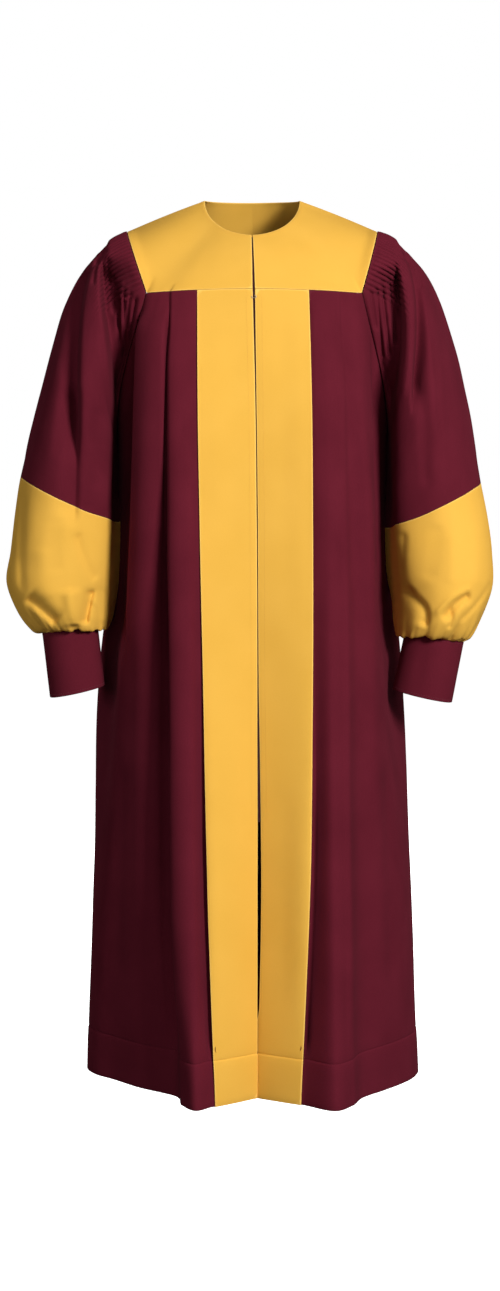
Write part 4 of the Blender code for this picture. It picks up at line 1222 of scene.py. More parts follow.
@dataclass
class Yoke:
    """Gold yoke in three pieces: right front, left front and back, joined at the shoulders."""

    body: BodyCloth
    rows: int = 30
    arm_steps: int = 40
    neck_half_width: float = 65 * MM
    neck_front: tuple = (-0.2 * MM, -75 * MM, -53 * MM)
    neck_back: tuple = (0.0, 62 * MM, -2 * MM)
    neck_shoulder_height: float = -3 * MM
    slit_at_neck: float = 1.6 * MM
    shoulder: tuple = (171.5 * MM, 0.0, -45.5 * MM)
    corner_share: float = 0.56
    swell: float = 7 * MM
    swell_at_shoulder: float = 0.25
    swell_out: float = 0.75
    swell_up: float = 0.66
    pressed_height: float = 0.5 * MM
    pressed_width: float = 2.5 * MM
    calm_margin: float = 0.12
    shoulder_depth: float = 1.8 * MM
    shoulder_width: float = 3.0 * MM
    shoulder_overlap: float = 1.6 * MM
    shoulder_ramp: float = 5 * MM
    calm_reach: int = 26
    edge_calm: float = 16 * MM
    hand_size: float = 60 * MM
    hand_height: float = 0.9 * MM
    pressed_inset: float = 3 * MM
    pressed_calm: float = 4 * MM

    def __post_init__(self) -> None:
        """Work out the three grids, with the creases on them and normals shared along the seams."""
        top = self.body.sheet.points[0]
        corners = self.body.corners
        centre = self.body.column[self.body.names.index("centre")]
        last = len(top) - 1
        right = self.quarter(top[:corners[0] + 1], -1, self.neck_front, self.slit_at_neck, True)
        left = self.quarter(top[:corners[3] - 1:-1], 1, self.neck_front, self.slit_at_neck, True)
        right_back = self.quarter(top[centre:corners[1] - 1:-1], -1, self.neck_back, 0.0, False)
        left_back = self.quarter(top[centre:corners[2] + 1], 1, self.neck_back, 0.0, False)
        back = np.concatenate((right_back[:, ::-1], left_back[:, 1:]), axis=1)
        self.sheets = [Sheet(right), Sheet(left[:, ::-1]), Sheet(back)]
        for sheet in self.sheets:
            self.crease(sheet)
        right, left, back = (sheet.outward for sheet in self.sheets)
        below = self.body.sheet.outward[0]
        self.share(right[:, -1], back[:, 0])
        self.share(left[:, 0], back[:, -1])
        self.share(right[-1, :corners[0] + 1], below[:corners[0] + 1])
        self.share(left[-1, self.arm_steps:], below[corners[3]:last + 1])
        flat = slice(self.arm_steps, self.arm_steps + corners[2] - corners[1] + 1)
        self.share(back[-1, flat], below[corners[1]:corners[2] + 1])

    def quarter(self, lower: np.ndarray, side: int, neck_middle: tuple, neck_gap: float,
                front: bool) -> np.ndarray:
        """Grid of one quarter of the yoke, from the centre line to the shoulder seam.

        Args:
            lower: Points of the body's top edge from the centre to the yoke's corner.
            side: Sign of X.
            neck_middle: Middle of the neckline.
            neck_gap: Width of the slit at the neckline.
            front: Whether this is a front quarter.

        Returns:
            Points from the neckline down to the yoke's edge.
        """
        end = np.array((side * self.shoulder[0], self.shoulder[1], self.shoulder[2]))
        turn = np.linspace(0, math.pi / 2, self.arm_steps + 1)
        arm = lower[-1] + (end - lower[-1]) * np.sin(turn)[:, None]
        arm[:, 1] = end[1] + (lower[-1, 1] - end[1]) * np.cos(turn)
        edge = np.concatenate((lower, arm[1:]))
        reach = np.abs(lower[:, 0] - lower[0, 0]) / abs(lower[-1, 0] - lower[0, 0])
        beyond = np.linspace(0, 1, self.arm_steps + 1)[1:]
        corner = self.corner_share
        share = np.concatenate((corner * reach, corner + (1 - corner) * beyond))
        turn = share * math.pi / 2
        start = neck_middle[0] + side * neck_gap / 2
        neck = np.empty_like(edge)
        neck[:, 0] = start + (side * self.neck_half_width - start) * np.sin(turn)
        neck[:, 1] = neck_middle[1] * np.cos(turn)
        neck[:, 2] = neck_middle[2] + (self.neck_shoulder_height - neck_middle[2]) * (1 - np.cos(turn))
        down = np.linspace(0, 1, self.rows)[:, None, None]
        height = self.swell_at_shoulder + (1 - self.swell_at_shoulder) * np.cos(turn)
        outward = np.array((0.0, -self.swell_out if front else self.swell_out, self.swell_up))
        rise = self.swell * height[:, None] * 4 * down * (1 - down)
        points = neck + (edge - neck) * down + rise * outward
        calm = ease(np.minimum(down, 1 - down) / self.calm_margin)
        return points + (self.calmed(points) - points) * calm

    def calmed(self, points: np.ndarray) -> np.ndarray:
        """The grid with its columns smoothed across, its first and last column kept.

        Args:
            points: The grid.

        Returns:
            The smoothed grid.
        """
        reach = self.calm_reach
        weights = np.exp(-((np.arange(-reach, reach + 1) / (reach / 2)) ** 2))
        weights /= weights.sum()
        before = 2 * points[:, :1] - points[:, reach:0:-1]
        after = 2 * points[:, -1:] - points[:, -2:-reach - 2:-1]
        padded = np.concatenate((before, points, after), axis=1)
        count = points.shape[1]
        return sum(weight * padded[:, k:k + count] for k, weight in enumerate(weights))

    def crease(self, sheet: Sheet) -> None:
        """Lay the creases on a piece, with none at its edges, and press the edge of its neckline.

        Args:
            sheet: The piece.
        """
        down = lengths_along(sheet.points, 0)
        across = lengths_along(sheet.points, 1)
        margin = np.minimum(down[-1] - down, np.minimum(across, across[:, -1:] - across))
        hand = crease_heights(sheet, YOKE_CREASES)
        hand = hand + unevenness(sheet.points, self.hand_size, self.hand_height)
        pressed = self.pressed_height * np.exp(-(((down - self.pressed_inset) / self.pressed_width) ** 2))
        sheet.raise_by(hand * ease(margin / self.edge_calm) + pressed * ease(margin / self.pressed_calm))

    def share(self, first: np.ndarray, second: np.ndarray) -> None:
        """Give two meeting edges the same normals.

        Args:
            first: Normals of one edge.
            second: Normals of the other.
        """
        mean = unit(first + second)
        first[...] = mean
        second[...] = mean

    def build(self) -> None:
        """Build the three pieces as walls."""
        gap = SEAM_GAP / 2
        cuts = (
            ("yoke_front_right", (0.0, gap), (0.215, 0.150), 0.0235),
            ("yoke_front_left", (gap, 0.0), (0.215, 0.150), 0.0235),
            ("yoke_back", (gap, gap), (0.410, 0.170), 0.0530),
        )
        for sheet, (name, (start, end), flat, area) in zip(self.sheets, cuts):
            sheet = sheet.part(slice(None), slice(None))
            sheet.draw_in(bottom=gap, start=start, end=end)
            if name == "yoke_back":
                self.lap_shoulders(sheet)
            piece = sheet.wall("cloth_" + name, CLOTH)
            place(piece, GOLD, "gold_cloth", name)

    def lap_shoulders(self, sheet: Sheet) -> None:
        """Let the back's shoulder edges pass under the fronts', except at the neck and the armhole.

        Args:
            sheet: The back yoke.
        """
        down = lengths_along(sheet.points, 0)
        share = ease(np.minimum(down, down[-1:] - down) / self.shoulder_ramp)
        reach = (0.0, -self.shoulder_overlap, 0.0)
        for start in (True, False):
            sheet.lap(start, self.shoulder_depth, self.shoulder_width, reach, share)

    def armhole(self, arm: Arm) -> np.ndarray:
        """Closed loop of the armhole's edge, from the shoulder down the front and up the back.

        Args:
            arm: The arm.

        Returns:
            Points of the loop.
        """
        top = self.body.sheet.points[0]
        corners = self.body.corners
        right, left, back = (sheet.points[-1] for sheet in self.sheets)
        if arm is Arm.RIGHT:
            front_edge = right[corners[0]:][::-1]
            under = top[corners[0] + 1:corners[1]]
            back_edge = back[:self.arm_steps + 1][::-1]
        else:
            front_edge = left[:self.arm_steps + 1]
            under = top[corners[2] + 1:corners[3]][::-1]
            back_edge = back[-self.arm_steps - 1:]
        return np.concatenate((front_edge, under, back_edge[:-1]))


@dataclass(frozen=True)
class Gathers:
    """Uneven gathers that fall from a sleeve's flutes, each a valley with its own place and size.

    Places and widths are shares of the way round, rows are section numbers.
    """

    count: int = 27
    scatter: float = 0.35
    depth: float = 5.0 * MM
    least_depth: float = 0.45
    width: float = 0.0050
    least_width: float = 0.8
    width_spread: float = 0.5
    widening: float = 0.9
    start: float = 0.82
    least_reach: float = 0.5
    reach: float = 1.1
    reach_power: float = 1.5
    fan: float = 0.33
    fan_start: float = 0.9
    front: float = 0.05
    front_ramp: float = 0.04
    front_calm: float = 0.6
    fade_in: float = 0.16
    fade_out: float = 0.7
    rates: tuple = (12.9, 7.3, 4.1, 5.3)
    starts: tuple = (1.0, 0.4)

    def valleys(self, spot: np.ndarray, row: np.ndarray, fluted_share: float) -> Iterator[np.ndarray]:
        """Depth of each gather in turn.

        Args:
            spot: Places round the sleeve, from the middle of the flutes.
            row: Section numbers down it.
            fluted_share: Share of the way round that is fluted.

        Yields:
            The gather's depth at each place and row.
        """
        place_rate, depth_rate, reach_rate, width_rate = self.rates
        depth_start, reach_start = self.starts
        for k in range(self.count):
            middle = fluted_share * ((k + 0.5 + self.scatter * math.sin(place_rate * k)) / self.count - 0.5)
            front = float(ease((middle - self.front) / self.front_ramp))
            share = self.least_depth + (1 - self.least_depth) * math.sin(depth_rate * k + depth_start) ** 2
            depth = self.depth * share * (1 - self.front_calm * front)
            longer = abs(math.sin(reach_rate * k + reach_start)) ** self.reach_power
            part = (row - self.start) / (self.least_reach + self.reach * longer * (1 - front))
            width = self.width * (self.least_width + self.width_spread * math.sin(width_rate * k) ** 2)
            off = spot - middle * (1 + self.fan * (row - self.fan_start))
            valley = np.exp(-((off / (width * (1 + self.widening * np.clip(part, 0, 1)))) ** 2))
            yield depth * valley * ease(part / self.fade_in) * ease((1 - part) / self.fade_out)


@dataclass
class Sleeve:
    """Bishop sleeve of one arm: fluted maroon sleeve, gold puff and maroon cuff."""

    arm: Arm
    loop: np.ndarray
    sections: tuple
    folds: tuple
    creases: tuple
    cuff: tuple
    flutes: int = 38
    fluted_share: float = 0.38
    flute_depth: float = 2.0 * MM
    flute_columns: int = 6
    flute_edge: float = 0.012
    flute_sharpness: float = 0.7
    flute_unevenness: float = 0.2
    flute_waves: tuple = (17, 5)
    flute_rows: tuple = (0.0, 0.12, 0.8, 0.95, 1.2, 1.8)
    flute_shares: tuple = (0.45, 1.0, 1.0, 0.75, 0.25, 0.0)
    front_columns: int = 112
    back_columns: int = 46
    front_end: float = 0.48
    puff_columns: int = 260
    upper_rows: tuple = ((0, 1.3, 30), (1.3, 3.6, 58), (3.6, SEAM_SECTION, 33))
    puff_rows: int = 66
    cuff_columns: int = 96
    cuff_rows: int = 30
    cuff_dents: tuple = ((0.30, 0.035, -1.2 * MM), (0.20, 0.05, 0.7 * MM), (0.72, 0.04, -1.0 * MM))
    cuff_hand: tuple = (30 * MM, 0.4 * MM)
    gathers: Gathers = Gathers()
    lobes_round: tuple = (19, 11, 9, 31)
    lobe_heights: tuple = (0.4, 0.35, 0.3)
    lobe_starts: tuple = (0.9, 2.0)
    lobe_wobble: float = 0.35
    lobe_rows: tuple = (10.2, 11.2, 11.8, 12.3, 12.7, 13.0)
    lobe_shares: tuple = (0.0, 0.25, 0.7, 1.1, 0.9, 0.2)
    lobe_depth: float = 2.4 * MM
    hand_sizes: tuple = ((55 * MM, 1.6 * MM), (22 * MM, 0.5 * MM))
    head_clearance: float = 0.5 * MM
    head_calm: float = 14 * MM
    cuff_calm: float = 0.8
    fold_fade: float = 0.6
    puff_fold_start: float = 0.42
    puff_fold_growth: float = 0.34

    @property
    def word(self) -> str:
        """The arm's name as the pieces have it."""
        return self.arm.name.lower()

    def oval(self, section: Section, places: np.ndarray) -> np.ndarray:
        """Points round an oval section: 0 is the outer point and 0.25 the front.

        Args:
            section: The section.
            places: Places round the sleeve, as shares of the way round.

        Returns:
            The points.
        """
        outer = np.array((section.outer, section.outer_height)) * MM
        inner = np.array((section.inner, section.inner_height)) * MM
        front, back = section.front * MM, section.back * MM
        turn = np.asarray(places) * 2 * math.pi
        middle, reach = (outer + inner) / 2, (outer - inner) / 2
        return np.column_stack((
            middle[0] + reach[0] * np.cos(turn),
            (front + back) / 2 + (front - back) / 2 * np.sin(turn),
            middle[1] + reach[1] * np.cos(turn),
        ))

    def head(self, places: np.ndarray) -> np.ndarray:
        """Points of the sleeve's head, just clear of the armhole's edge.

        Args:
            places: Places round the sleeve, as shares of the way round.

        Returns:
            The points.
        """
        ring = np.concatenate((self.loop, self.loop[:1]))
        length = lengths_along(ring, 0)
        wanted = places * length[-1]
        points = read_along(length, ring, wanted)
        under = (1 - np.cos(places * 2 * math.pi)) / 2
        points[:, 0] += self.arm.value * (self.head_clearance + under * (CLOTH + SEAM_GAP))
        return points

    def plain(self, places: np.ndarray, rows: np.ndarray) -> np.ndarray:
        """Grid of the sleeve without folds, at the given places round it and section numbers.

        Args:
            places: Places round the sleeve, as shares of the way round.
            rows: Section numbers of the rows.

        Returns:
            Grid of points.
        """
        rings = np.array([self.head(places)] + [self.oval(section, places) for section in self.sections])
        hops = np.linalg.norm(np.diff(rings, axis=0), axis=2).mean(axis=1)
        knots = np.concatenate(([0.0], np.cumsum(hops)))
        return smooth(knots, rings, np.interp(rows, np.arange(len(knots)), knots))

    def fold_depth(self, places: np.ndarray, section: float) -> np.ndarray:
        """Depth of the large folds at places round the sleeve, at one section number.

        Args:
            places: Places round the sleeve, as shares of the way round.
            section: The section number.

        Returns:
            A depth at each place.
        """
        depth = np.zeros(len(places))
        for fold in self.folds:
            if not fold.first < section < fold.last + 1:
                continue
            part = (section - fold.first) / (fold.last - fold.first)
            middle = fold.top + (fold.foot - fold.top) * min(part, 1.0)
            if fold.last < len(self.sections):
                fade = math.sin(math.pi * min(part, 1.0)) ** self.fold_fade
            else:
                growth = (part - self.puff_fold_start) / self.puff_fold_growth
                fade = float(ease(growth)) * min(1.0, max(0.0, fold.last - section))
            depth += fold.depth * MM * fade * np.exp(-((around(places, middle) / (fold.width / 2)) ** 2))
        return depth

    def ribs(self, places: np.ndarray, rows: np.ndarray) -> np.ndarray:
        """Rise of the stitched flutes, and of the uneven gathers that fall from them.

        Args:
            places: Places round the sleeve, as shares of the way round.
            rows: Section numbers of the rows.

        Returns:
            Height at each row and place.
        """
        spot = around(places, 0.0)[None, :]
        row = rows[:, None]
        turn = 2 * math.pi * spot / self.fluted_share
        inside = np.clip((self.fluted_share / 2 + self.flute_edge - np.abs(spot)) / self.flute_edge, 0, 1)
        rib = 2 * np.abs(np.cos(self.flutes * turn / 2)) ** self.flute_sharpness - 1
        share = np.interp(row, self.flute_rows, self.flute_shares)
        fine, broad = self.flute_waves
        uneven = 1 + self.flute_unevenness * np.sin(fine * turn + 1.0) * np.sin(broad * turn)
        rise = self.flute_depth * rib * share * inside * uneven
        for valley in self.gathers.valleys(spot, row, self.fluted_share):
            rise -= valley
        return rise

    def lobes(self, places: np.ndarray, rows: np.ndarray) -> np.ndarray:
        """Rise of the puff's gathers, which deepen towards the cuff.

        Args:
            places: Places round the sleeve, as shares of the way round.
            rows: Section numbers of the rows.

        Returns:
            Height at each row and place.
        """
        turn = 2 * math.pi * places[None, :]
        row = rows[:, None]
        main, second, third, fine = self.lobes_round
        high, middle, low = self.lobe_heights
        second_start, third_start = self.lobe_starts
        wobble = self.lobe_wobble * np.sin(3 * turn + row)
        wave = high * np.cos(main * turn + wobble)
        wave = wave + middle * np.cos(second * turn + second_start + 2 * wobble)
        wave += low * np.cos(third * turn + third_start) * np.cos(fine * turn)
        return self.lobe_depth * np.interp(row, self.lobe_rows, self.lobe_shares) * wave

    def shaped(self, places: np.ndarray, rows: np.ndarray) -> Sheet:
        """The sleeve with all its folds, flutes, gathers and creases.

        Args:
            places: Places round the sleeve, as shares of the way round.
            rows: Section numbers of the rows.

        Returns:
            The sheet.
        """
        sheet = Sheet(self.plain(places, rows), closed=True, turned=self.arm is Arm.RIGHT)
        sheet.raise_by(-np.array([self.fold_depth(places, row) for row in rows]))
        creases = crease_heights(sheet, self.creases + behind(self.creases))
        down = lengths_along(sheet.points, 0) + (self.head_calm if rows[0] else 0.0)
        to_cuff = len(self.sections) - rows[:, None]
        calm = ease(down / self.head_calm) * ease(to_cuff / self.cuff_calm)
        hand = uneven_hand(sheet.points, self.hand_sizes)
        sheet.points[..., 1] += np.sign(sheet.normals()[..., 1]) * creases * calm
        sheet.raise_by(hand * calm)
        sheet.raise_by(self.ribs(places, rows) + self.lobes(places, rows))
        return sheet

    def build(self) -> dict[str, Sheet]:
        """Build the sleeve, puff and cuff as walls.

        Returns:
            The sheets of the pieces by a short name.
        """
        half = self.fluted_share / 2
        fluted = np.linspace(-half, half, self.flutes * self.flute_columns + 1)
        front = np.linspace(half, self.front_end, self.front_columns, endpoint=False)[1:]
        back = np.linspace(self.front_end, 1 - half, self.back_columns)[:-1]
        places = np.sort(np.mod(np.concatenate((fluted, front, back)) + TINY, 1.0))
        rows = np.concatenate([np.linspace(first, last, count, endpoint=last == SEAM_SECTION)
                               for first, last, count in self.upper_rows])
        upper = self.shaped(places, rows)
        last = len(self.sections)
        lower = self.shaped(np.arange(self.puff_columns) / self.puff_columns,
                            np.linspace(SEAM_SECTION, last, self.puff_rows))
        upper.draw_in(bottom=SEAM_GAP / 2)
        lower.draw_in(top=SEAM_GAP / 2)
        piece = upper.wall("cloth_sleeve_" + self.word, CLOTH)
        place(piece, MAROON, "maroon_cloth", "sleeve_" + self.word)
        piece = lower.wall("cloth_puff_" + self.word, CLOTH)
        place(piece, GOLD, "gold_cloth", "lower_sleeve_" + self.word)
        cuff = self.cuff_sheet()
        piece = cuff.wall("cloth_cuff_" + self.word, CUFF_CLOTH)
        place(piece, CUFF_MAROON, "cuff_cloth", "cuff_" + self.word)
        return {"upper": upper, "puff": lower, "cuff": cuff}

    def cuff_sheet(self) -> Sheet:
        """The cuff's band, which tapers to the wrist and has a soft crease down it.

        Returns:
            The sheet.
        """
        places = np.arange(self.cuff_columns) / self.cuff_columns
        top, wrist = (self.oval(section, places) for section in self.cuff)
        share = np.linspace(0, 1, self.cuff_rows)[:, None, None]
        sheet = Sheet(top + (wrist - top) * share, closed=True, turned=self.arm is Arm.RIGHT)
        dent = sum(depth * np.exp(-((around(places, spot) / width) ** 2))
                   for spot, width, depth in self.cuff_dents)
        hand = unevenness(sheet.points, *self.cuff_hand)
        sheet.raise_by(dent[None, :] * np.sin(math.pi * share[..., 0]) + hand)
        return sheet


@dataclass
class Stitches:
    """Rows of small stitches, each row one joined mesh of copies of one modelled stitch."""

    length: float = 2.2 * MM
    radius: float = 0.22 * MM
    core: float = 0.6
    slimming: float = 0.45
    sink: float = 0.9
    points: np.ndarray = field(init=False)
    faces: list = field(init=False)

    def __post_init__(self) -> None:
        """Model the stitch: a short core, and a longer thread grown from it that lies lower in the cloth."""
        stitch = add_bar(self.radius, self.length * self.core)
        growth = self.length * (1 - self.core) / 2
        bpy.ops.mesh.extrude_region_shrink_fatten(TRANSFORM_OT_shrink_fatten={"value": growth})
        bpy.ops.transform.resize(value=(1.0, self.slimming, self.slimming))
        bpy.ops.transform.translate(value=(0, 0, -self.radius * self.sink))
        self.points, self.faces = take_shape(stitch)

    def row(self, name: str, path: np.ndarray, outward: np.ndarray, lift: float,
            pitch: float) -> bpy.types.Object:
        """Lay stitches along a path on the cloth.

        Args:
            name: The piece's name.
            path: Points of the path.
            outward: The cloth's normals along it.
            lift: Height of the stitches above the cloth's middle.
            pitch: Distance from one stitch to the next.

        Returns:
            The joined mesh.
        """
        length = lengths_along(path, 0)
        wanted = np.arange(pitch / 2, length[-1], pitch)
        spots = read_along(length, path, wanted)
        runs = unit(read_along(length, path, wanted + pitch / 4) - spots)
        ups = unit(read_along(length, outward, wanted))
        ups = unit(ups - runs * (ups * runs).sum(axis=1, keepdims=True))
        places = spots[:, None] + ups[:, None] * lift
        for k, axis in enumerate((runs, np.cross(ups, runs), ups)):
            places = places + self.points[None, :, k:k + 1] * axis[:, None]
        count = len(self.points)
        faces = [[corner + k * count for corner in face] for k in range(len(spots)) for face in self.faces]
        return new_piece(name, places, faces)


def inset_path(sheet: Sheet, distance: float, across: bool, far: bool) -> tuple[np.ndarray, np.ndarray]:
    """Path on a sheet that runs beside one of its edges.

    Args:
        sheet: The cloth.
        distance: Distance in from the edge.
        across: Whether the path runs across the cloth, beside its top or bottom.
        far: Whether the edge is the last one and not the first.

    Returns:
        Points and normals along the path.
    """
    points, outward = sheet.points, sheet.outward
    if not across:
        points, outward = np.swapaxes(points, 0, 1), np.swapaxes(outward, 0, 1)
    if far:
        points, outward = points[::-1], outward[::-1]
    along = lengths_along(points, 0)
    path, normals = (np.array([read_along(along[:, k], grid[:, k], distance) for k in range(grid.shape[1])])
                     for grid in (points, outward))
    return path, normals


@dataclass
class Sewing:
    """Stitches that show: beside the zip, round the neckline, the hem and the cuffs."""

    panels: dict
    yoke: Yoke
    sleeves: dict
    zip_end: float = ZIP_END
    zip_inset: float = 9 * MM
    neck_inset: float = 5 * MM
    hem: float = HEM_DEPTH
    hem_sink: float = 0.7 * MM
    thread_lift: float = 0.05 * MM
    cuff_inset: float = 4 * MM
    pitch: float = 3.4 * MM
    hem_pitch: float = 8.5 * MM

    def build(self) -> None:
        """Sew every row."""
        stitches = Stitches()
        lift = CLOTH / 2 + self.thread_lift
        for name in ("front_panel_right", "front_panel_left"):
            path, outward = inset_path(self.panels[name], self.zip_inset, False, name.endswith("left"))
            kept = path[:, 2] > self.zip_end
            gold = stitches.row("zip_stitches_" + name, path[kept], outward[kept], lift, self.pitch)
            place(gold, GOLD_THREAD, "gold_cloth")
        for name, sheet in zip(("right", "left", "back"), self.yoke.sheets):
            path, outward = inset_path(sheet, self.neck_inset, True, False)
            gold = stitches.row("neck_stitches_" + name, path, outward, lift, self.pitch)
            place(gold, GOLD_THREAD, "gold_cloth")
        for name, sheet in self.panels.items():
            path, outward = inset_path(sheet, self.hem, True, True)
            hem = stitches.row("hem_stitches_" + name, path, outward, lift - self.hem_sink, self.hem_pitch)
            if name.startswith("front_panel"):
                place(hem, GOLD_THREAD, "gold_cloth")
            else:
                place(hem, MAROON_THREAD, "maroon_cloth")
        lift = CUFF_CLOTH / 2 + self.thread_lift
        for word, sheets in self.sleeves.items():
            for edge, far in (("top", False), ("foot", True)):
                path, outward = inset_path(sheets["cuff"], self.cuff_inset, True, far)
                maroon = stitches.row(f"cuff_stitches_{edge}_{word}", path, outward, lift, self.pitch)
                place(maroon, MAROON_THREAD, "cuff_cloth")


@dataclass
class FrontZip:
    """Zip behind the slit: a woven tape and the coil's two rows of nylon teeth."""

    body: BodyCloth
    yoke: Yoke
    end: float = ZIP_END
    side: float = 10 * MM
    columns: int = 12
    tooth_pitch: float = 1.5 * MM
    tooth_length: float = 2.6 * MM
    tooth_width: float = 0.8 * MM
    tooth_reach: float = 0.38
    tooth_swell: tuple = (1.0, 1.35, 1.1)
    tooth_rounding: float = 0.2
    edge_points: int = 12
    knots: tuple = (0.0, 0.45, 0.55, 1.0)

    def tape(self) -> Sheet:
        """The tape's middle surface, made from the panels' own points and moved in behind the slit.

        Returns:
            The sheet.
        """
        inset = CLOTH / 2 + TAPE_CLEARANCE + TAPE_CLOTH / 2
        right, left, _ = self.yoke.sheets
        body = self.body.sheet
        pairs = ((right, left, slice(1, -1)), (body, body, slice(None)))
        rows = []
        for first, second, span in pairs:
            for k in range(*span.indices(len(first.points))):
                if first.points[k, 0, 2] < self.end:
                    break
                spots, ups = [], []
                edges = ((first.points[k], first.outward[k], (self.side, 0.0)),
                         (second.points[k, ::-1], second.outward[k, ::-1], (0.0, self.side)))
                for points, outward, distances in edges:
                    along = lengths_along(points[:self.edge_points], 0)
                    spots.append(read_along(along, points[:self.edge_points], distances))
                    ups.append(read_along(along, outward[:self.edge_points], distances))
                rows.append((np.concatenate(spots), unit(np.concatenate(ups))))
        share = np.linspace(0, 1, self.columns)
        points = np.array([smooth(self.knots, spots - ups * inset, share) for spots, ups in rows])
        outward = np.array([unit(smooth(self.knots, ups, share)) for _, ups in rows])
        return Sheet(points, turned=True, outward=outward)

    def tooth(self) -> tuple[np.ndarray, list]:
        """Model one tooth of the coil: a short bar, wider than it is high, with rounded edges.

        Returns:
            Its points and faces, along X.
        """
        bar = add_bar(self.tooth_width / 2, self.tooth_length)
        bpy.ops.transform.resize(value=self.tooth_swell)
        bpy.ops.mesh.bevel(offset=self.tooth_width * self.tooth_rounding, segments=1)
        return take_shape(bar)

    def build(self) -> None:
        """Build the tape and its teeth."""
        tape = self.tape()
        piece = tape.wall("zip_tape", TAPE_CLOTH)
        place(piece, TAPE_MAROON, "zip_tape", "front_zip")
        middle = tape.points.mean(axis=1)
        up = unit(tape.outward.mean(axis=1))
        length = lengths_along(middle, 0)
        wanted = np.arange(self.tooth_pitch, length[-1] - self.tooth_pitch, self.tooth_pitch)
        points, shapes = self.tooth()
        centres = read_along(length, middle, wanted)
        normals = unit(read_along(length, up, wanted))
        places, faces = [], []
        for number, (centre, normal) in enumerate(zip(centres, normals)):
            across = np.array((1.0 if number % 2 else -1.0, 0.0, 0.0))
            down = np.cross(across, normal)
            lift = normal * (TAPE_CLOTH + self.tooth_width) / 2
            lift = lift + across * self.tooth_length * self.tooth_reach
            count = len(places) * len(points)
            places.append(centre + lift + points @ np.array((across, down, normal)))
            # Across, down and normal are a left-handed set, so the faces are turned round
            faces += [[corner + count for corner in face][::-1] for face in shapes]
        place(new_piece("zip_teeth", np.concatenate(places), faces), ZIP_NYLON, "zip_tape")


@dataclass
class WireHook:
    """Small wire hook that bridges the slit just below the yoke."""

    height: float = -137 * MM
    reach: float = 3.2 * MM
    rise: float = 1.6 * MM
    wire: float = 0.45 * MM
    start: float = 0.5 * math.pi
    end: float = 2.15 * math.pi
    steps: int = 36
    wire_sides: int = 12
    joined_within: float = 0.01 * MM
    end_rounding: float = 0.5
    end_angle: float = 60.0

    def build(self, body: BodyCloth) -> None:
        """Spin a round wire section round the hook's bend, squash the bend to an oval, and round its ends.

        Args:
            body: The cloth whose slit it bridges.
        """
        points = body.sheet.points
        middle = np.mean([read_along(-points[:, k, 2], points[:, k], -self.height) for k in (0, -1)], axis=0)
        middle[1] -= CLOTH / 2 + SEAM_GAP + self.wire
        bpy.ops.object.select_all(action="DESELECT")
        begin = (middle[0] + self.reach * math.cos(self.start), middle[1],
                 middle[2] + self.reach * math.sin(self.start))
        bpy.ops.mesh.primitive_circle_add(vertices=self.wire_sides, radius=self.wire, fill_type="NGON",
                                          location=begin, rotation=(0, math.pi / 2, 0))
        hook = bpy.context.object
        hook.name = hook.data.name = "wire_hook"
        bpy.ops.object.transform_apply(location=True, rotation=True, scale=True)
        bpy.ops.object.mode_set(mode="EDIT")
        bpy.ops.mesh.select_all(action="SELECT")
        bpy.ops.mesh.spin(steps=self.steps, angle=self.start - self.end, center=tuple(middle), axis=(0, 1, 0))
        bpy.ops.mesh.select_all(action="SELECT")
        bpy.ops.mesh.remove_doubles(threshold=self.joined_within)
        bpy.ops.mesh.normals_make_consistent(inside=False)
        bpy.ops.object.mode_set(mode="OBJECT")
        for vertex in hook.data.vertices:
            angle = math.atan2(vertex.co.z - middle[2], vertex.co.x - middle[0])
            ring = Vector((math.cos(angle), 0.0, math.sin(angle))) * self.reach
            centre = Vector(middle) + ring
            flat = Vector(middle) + Vector((ring.x, 0.0, ring.z * self.rise / self.reach))
            vertex.co = flat + (vertex.co - centre)
        round_ends = hook.modifiers.new("round ends", "BEVEL")
        round_ends.width = self.wire * self.end_rounding
        round_ends.segments = 2
        round_ends.angle_limit = math.radians(self.end_angle)
        bpy.ops.object.modifier_apply(modifier=round_ends.name)
        hook.data.shade_smooth()
        place(hook, HOOK_METAL, "hook_wire", "hook")


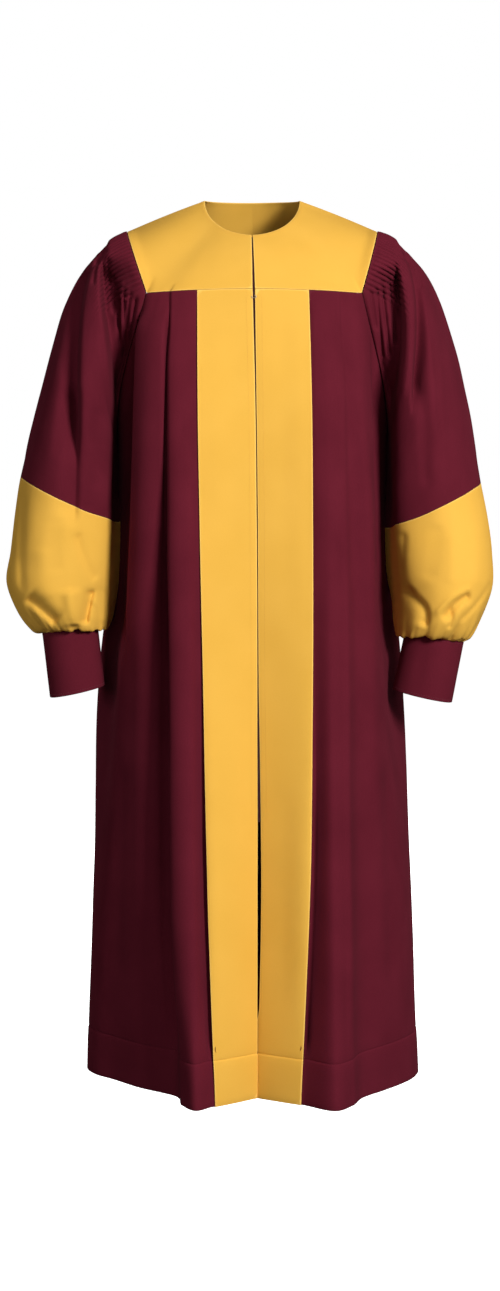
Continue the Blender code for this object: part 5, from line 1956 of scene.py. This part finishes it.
@dataclass
class Studio:
    """Pale floor, soft lights and the camera."""

    floor_height: float = -1516.5 * MM
    floor_radius: float = 16.0
    floor_sides: int = 96
    camera_place: tuple = (-0.003, -4.0, -0.25)
    camera_tilt: float = 84.76
    lens: float = 80.3
    target: tuple = (0.0, 0.0, -0.60)

    def build(self) -> None:
        """Make the floor, the world, the lights and the camera."""
        self.floor()
        self.world()
        lights = (
            ("key", (2.35, -3.75, 1.15), 1.1, 232.0),
            ("front", (-0.4, -5.6, 0.1), 2.6, 44.0),
            ("fill", (-3.6, -2.1, -0.2), 1.5, 34.0),
            ("side", (3.6, -1.2, -0.2), 1.4, 14.0),
            ("top", (0.1, -0.5, 2.3), 1.6, 10.0),
            ("back right", (-1.6, 4.4, 0.6), 1.6, 90.0),
            ("back left", (1.8, 4.4, 0.2), 1.6, 120.0),
        )
        for name, spot, size, power in lights:
            self.light(name, spot, size, power)
        self.camera()

    def floor(self) -> None:
        """Round pale floor, which is seen but throws no light on the cloth."""
        bpy.ops.object.select_all(action="DESELECT")
        bpy.ops.mesh.primitive_circle_add(vertices=self.floor_sides, radius=self.floor_radius,
                                          fill_type="NGON", location=(0, 0, self.floor_height))
        floor = bpy.context.object
        floor.name = "floor"
        bpy.ops.object.transform_apply(location=True, rotation=True, scale=True)
        floor.visible_diffuse = False
        floor.visible_glossy = False
        MATERIALS.dress(floor, FLOOR_PAINT)

    def world(self) -> None:
        """White backdrop all round, which is seen but throws no light on the cloth."""
        world = bpy.data.worlds.new("studio")
        bpy.context.scene.world = world
        world.use_nodes = True
        background = world.node_tree.nodes["Background"]
        background.inputs["Color"].default_value = (1.0, 1.0, 1.0, 1.0)
        background.inputs["Strength"].default_value = 1.0
        world.cycles_visibility.diffuse = False
        world.cycles_visibility.glossy = False

    def light(self, name: str, spot: tuple, size: float, power: float) -> None:
        """Square soft light aimed at the robe.

        Args:
            name: Its name.
            spot: Its place.
            size: Its width.
            power: Its watts.
        """
        data = bpy.data.lights.new(name, "AREA")
        data.size = size
        data.energy = power
        lamp = bpy.data.objects.new(name, data)
        lamp.location = spot
        lamp.rotation_euler = (Vector(self.target) - Vector(spot)).to_track_quat("-Z", "Y").to_euler()
        bpy.context.scene.collection.objects.link(lamp)

    def camera(self) -> None:
        """Camera at the height of the chest, tilted a little down."""
        data = bpy.data.cameras.new("camera")
        data.lens = self.lens
        camera = bpy.data.objects.new("camera", data)
        camera.location = self.camera_place
        camera.rotation_euler = (math.radians(self.camera_tilt), 0.0, 0.0)
        bpy.context.scene.collection.objects.link(camera)
        bpy.context.scene.camera = camera
        bpy.context.scene.view_settings.view_transform = "Standard"


def main() -> None:
    """Build the robe's classes in order, then the studio."""
    logging.basicConfig(level=logging.INFO, format="%(message)s")
    Studio().build()
    body = BodyCloth()
    yoke = Yoke(body)
    yoke.build()
    panels = body.build()
    sleeves = {}
    for arm, sections, folds, creases, cuff in (
        (Arm.RIGHT, RIGHT_SLEEVE_SECTIONS, RIGHT_SLEEVE_FOLDS, RIGHT_SLEEVE_CREASES, RIGHT_CUFF_SECTIONS),
        (Arm.LEFT, LEFT_SLEEVE_SECTIONS, LEFT_SLEEVE_FOLDS, LEFT_SLEEVE_CREASES, LEFT_CUFF_SECTIONS),
    ):
        sleeve = Sleeve(arm, yoke.armhole(arm), sections, folds, creases, cuff)
        sleeves[sleeve.word] = sleeve.build()
    Sewing(panels, yoke, sleeves).build()
    FrontZip(body, yoke).build()
    WireHook().build(body)
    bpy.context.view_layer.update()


if __name__ == "__main__":
    main()
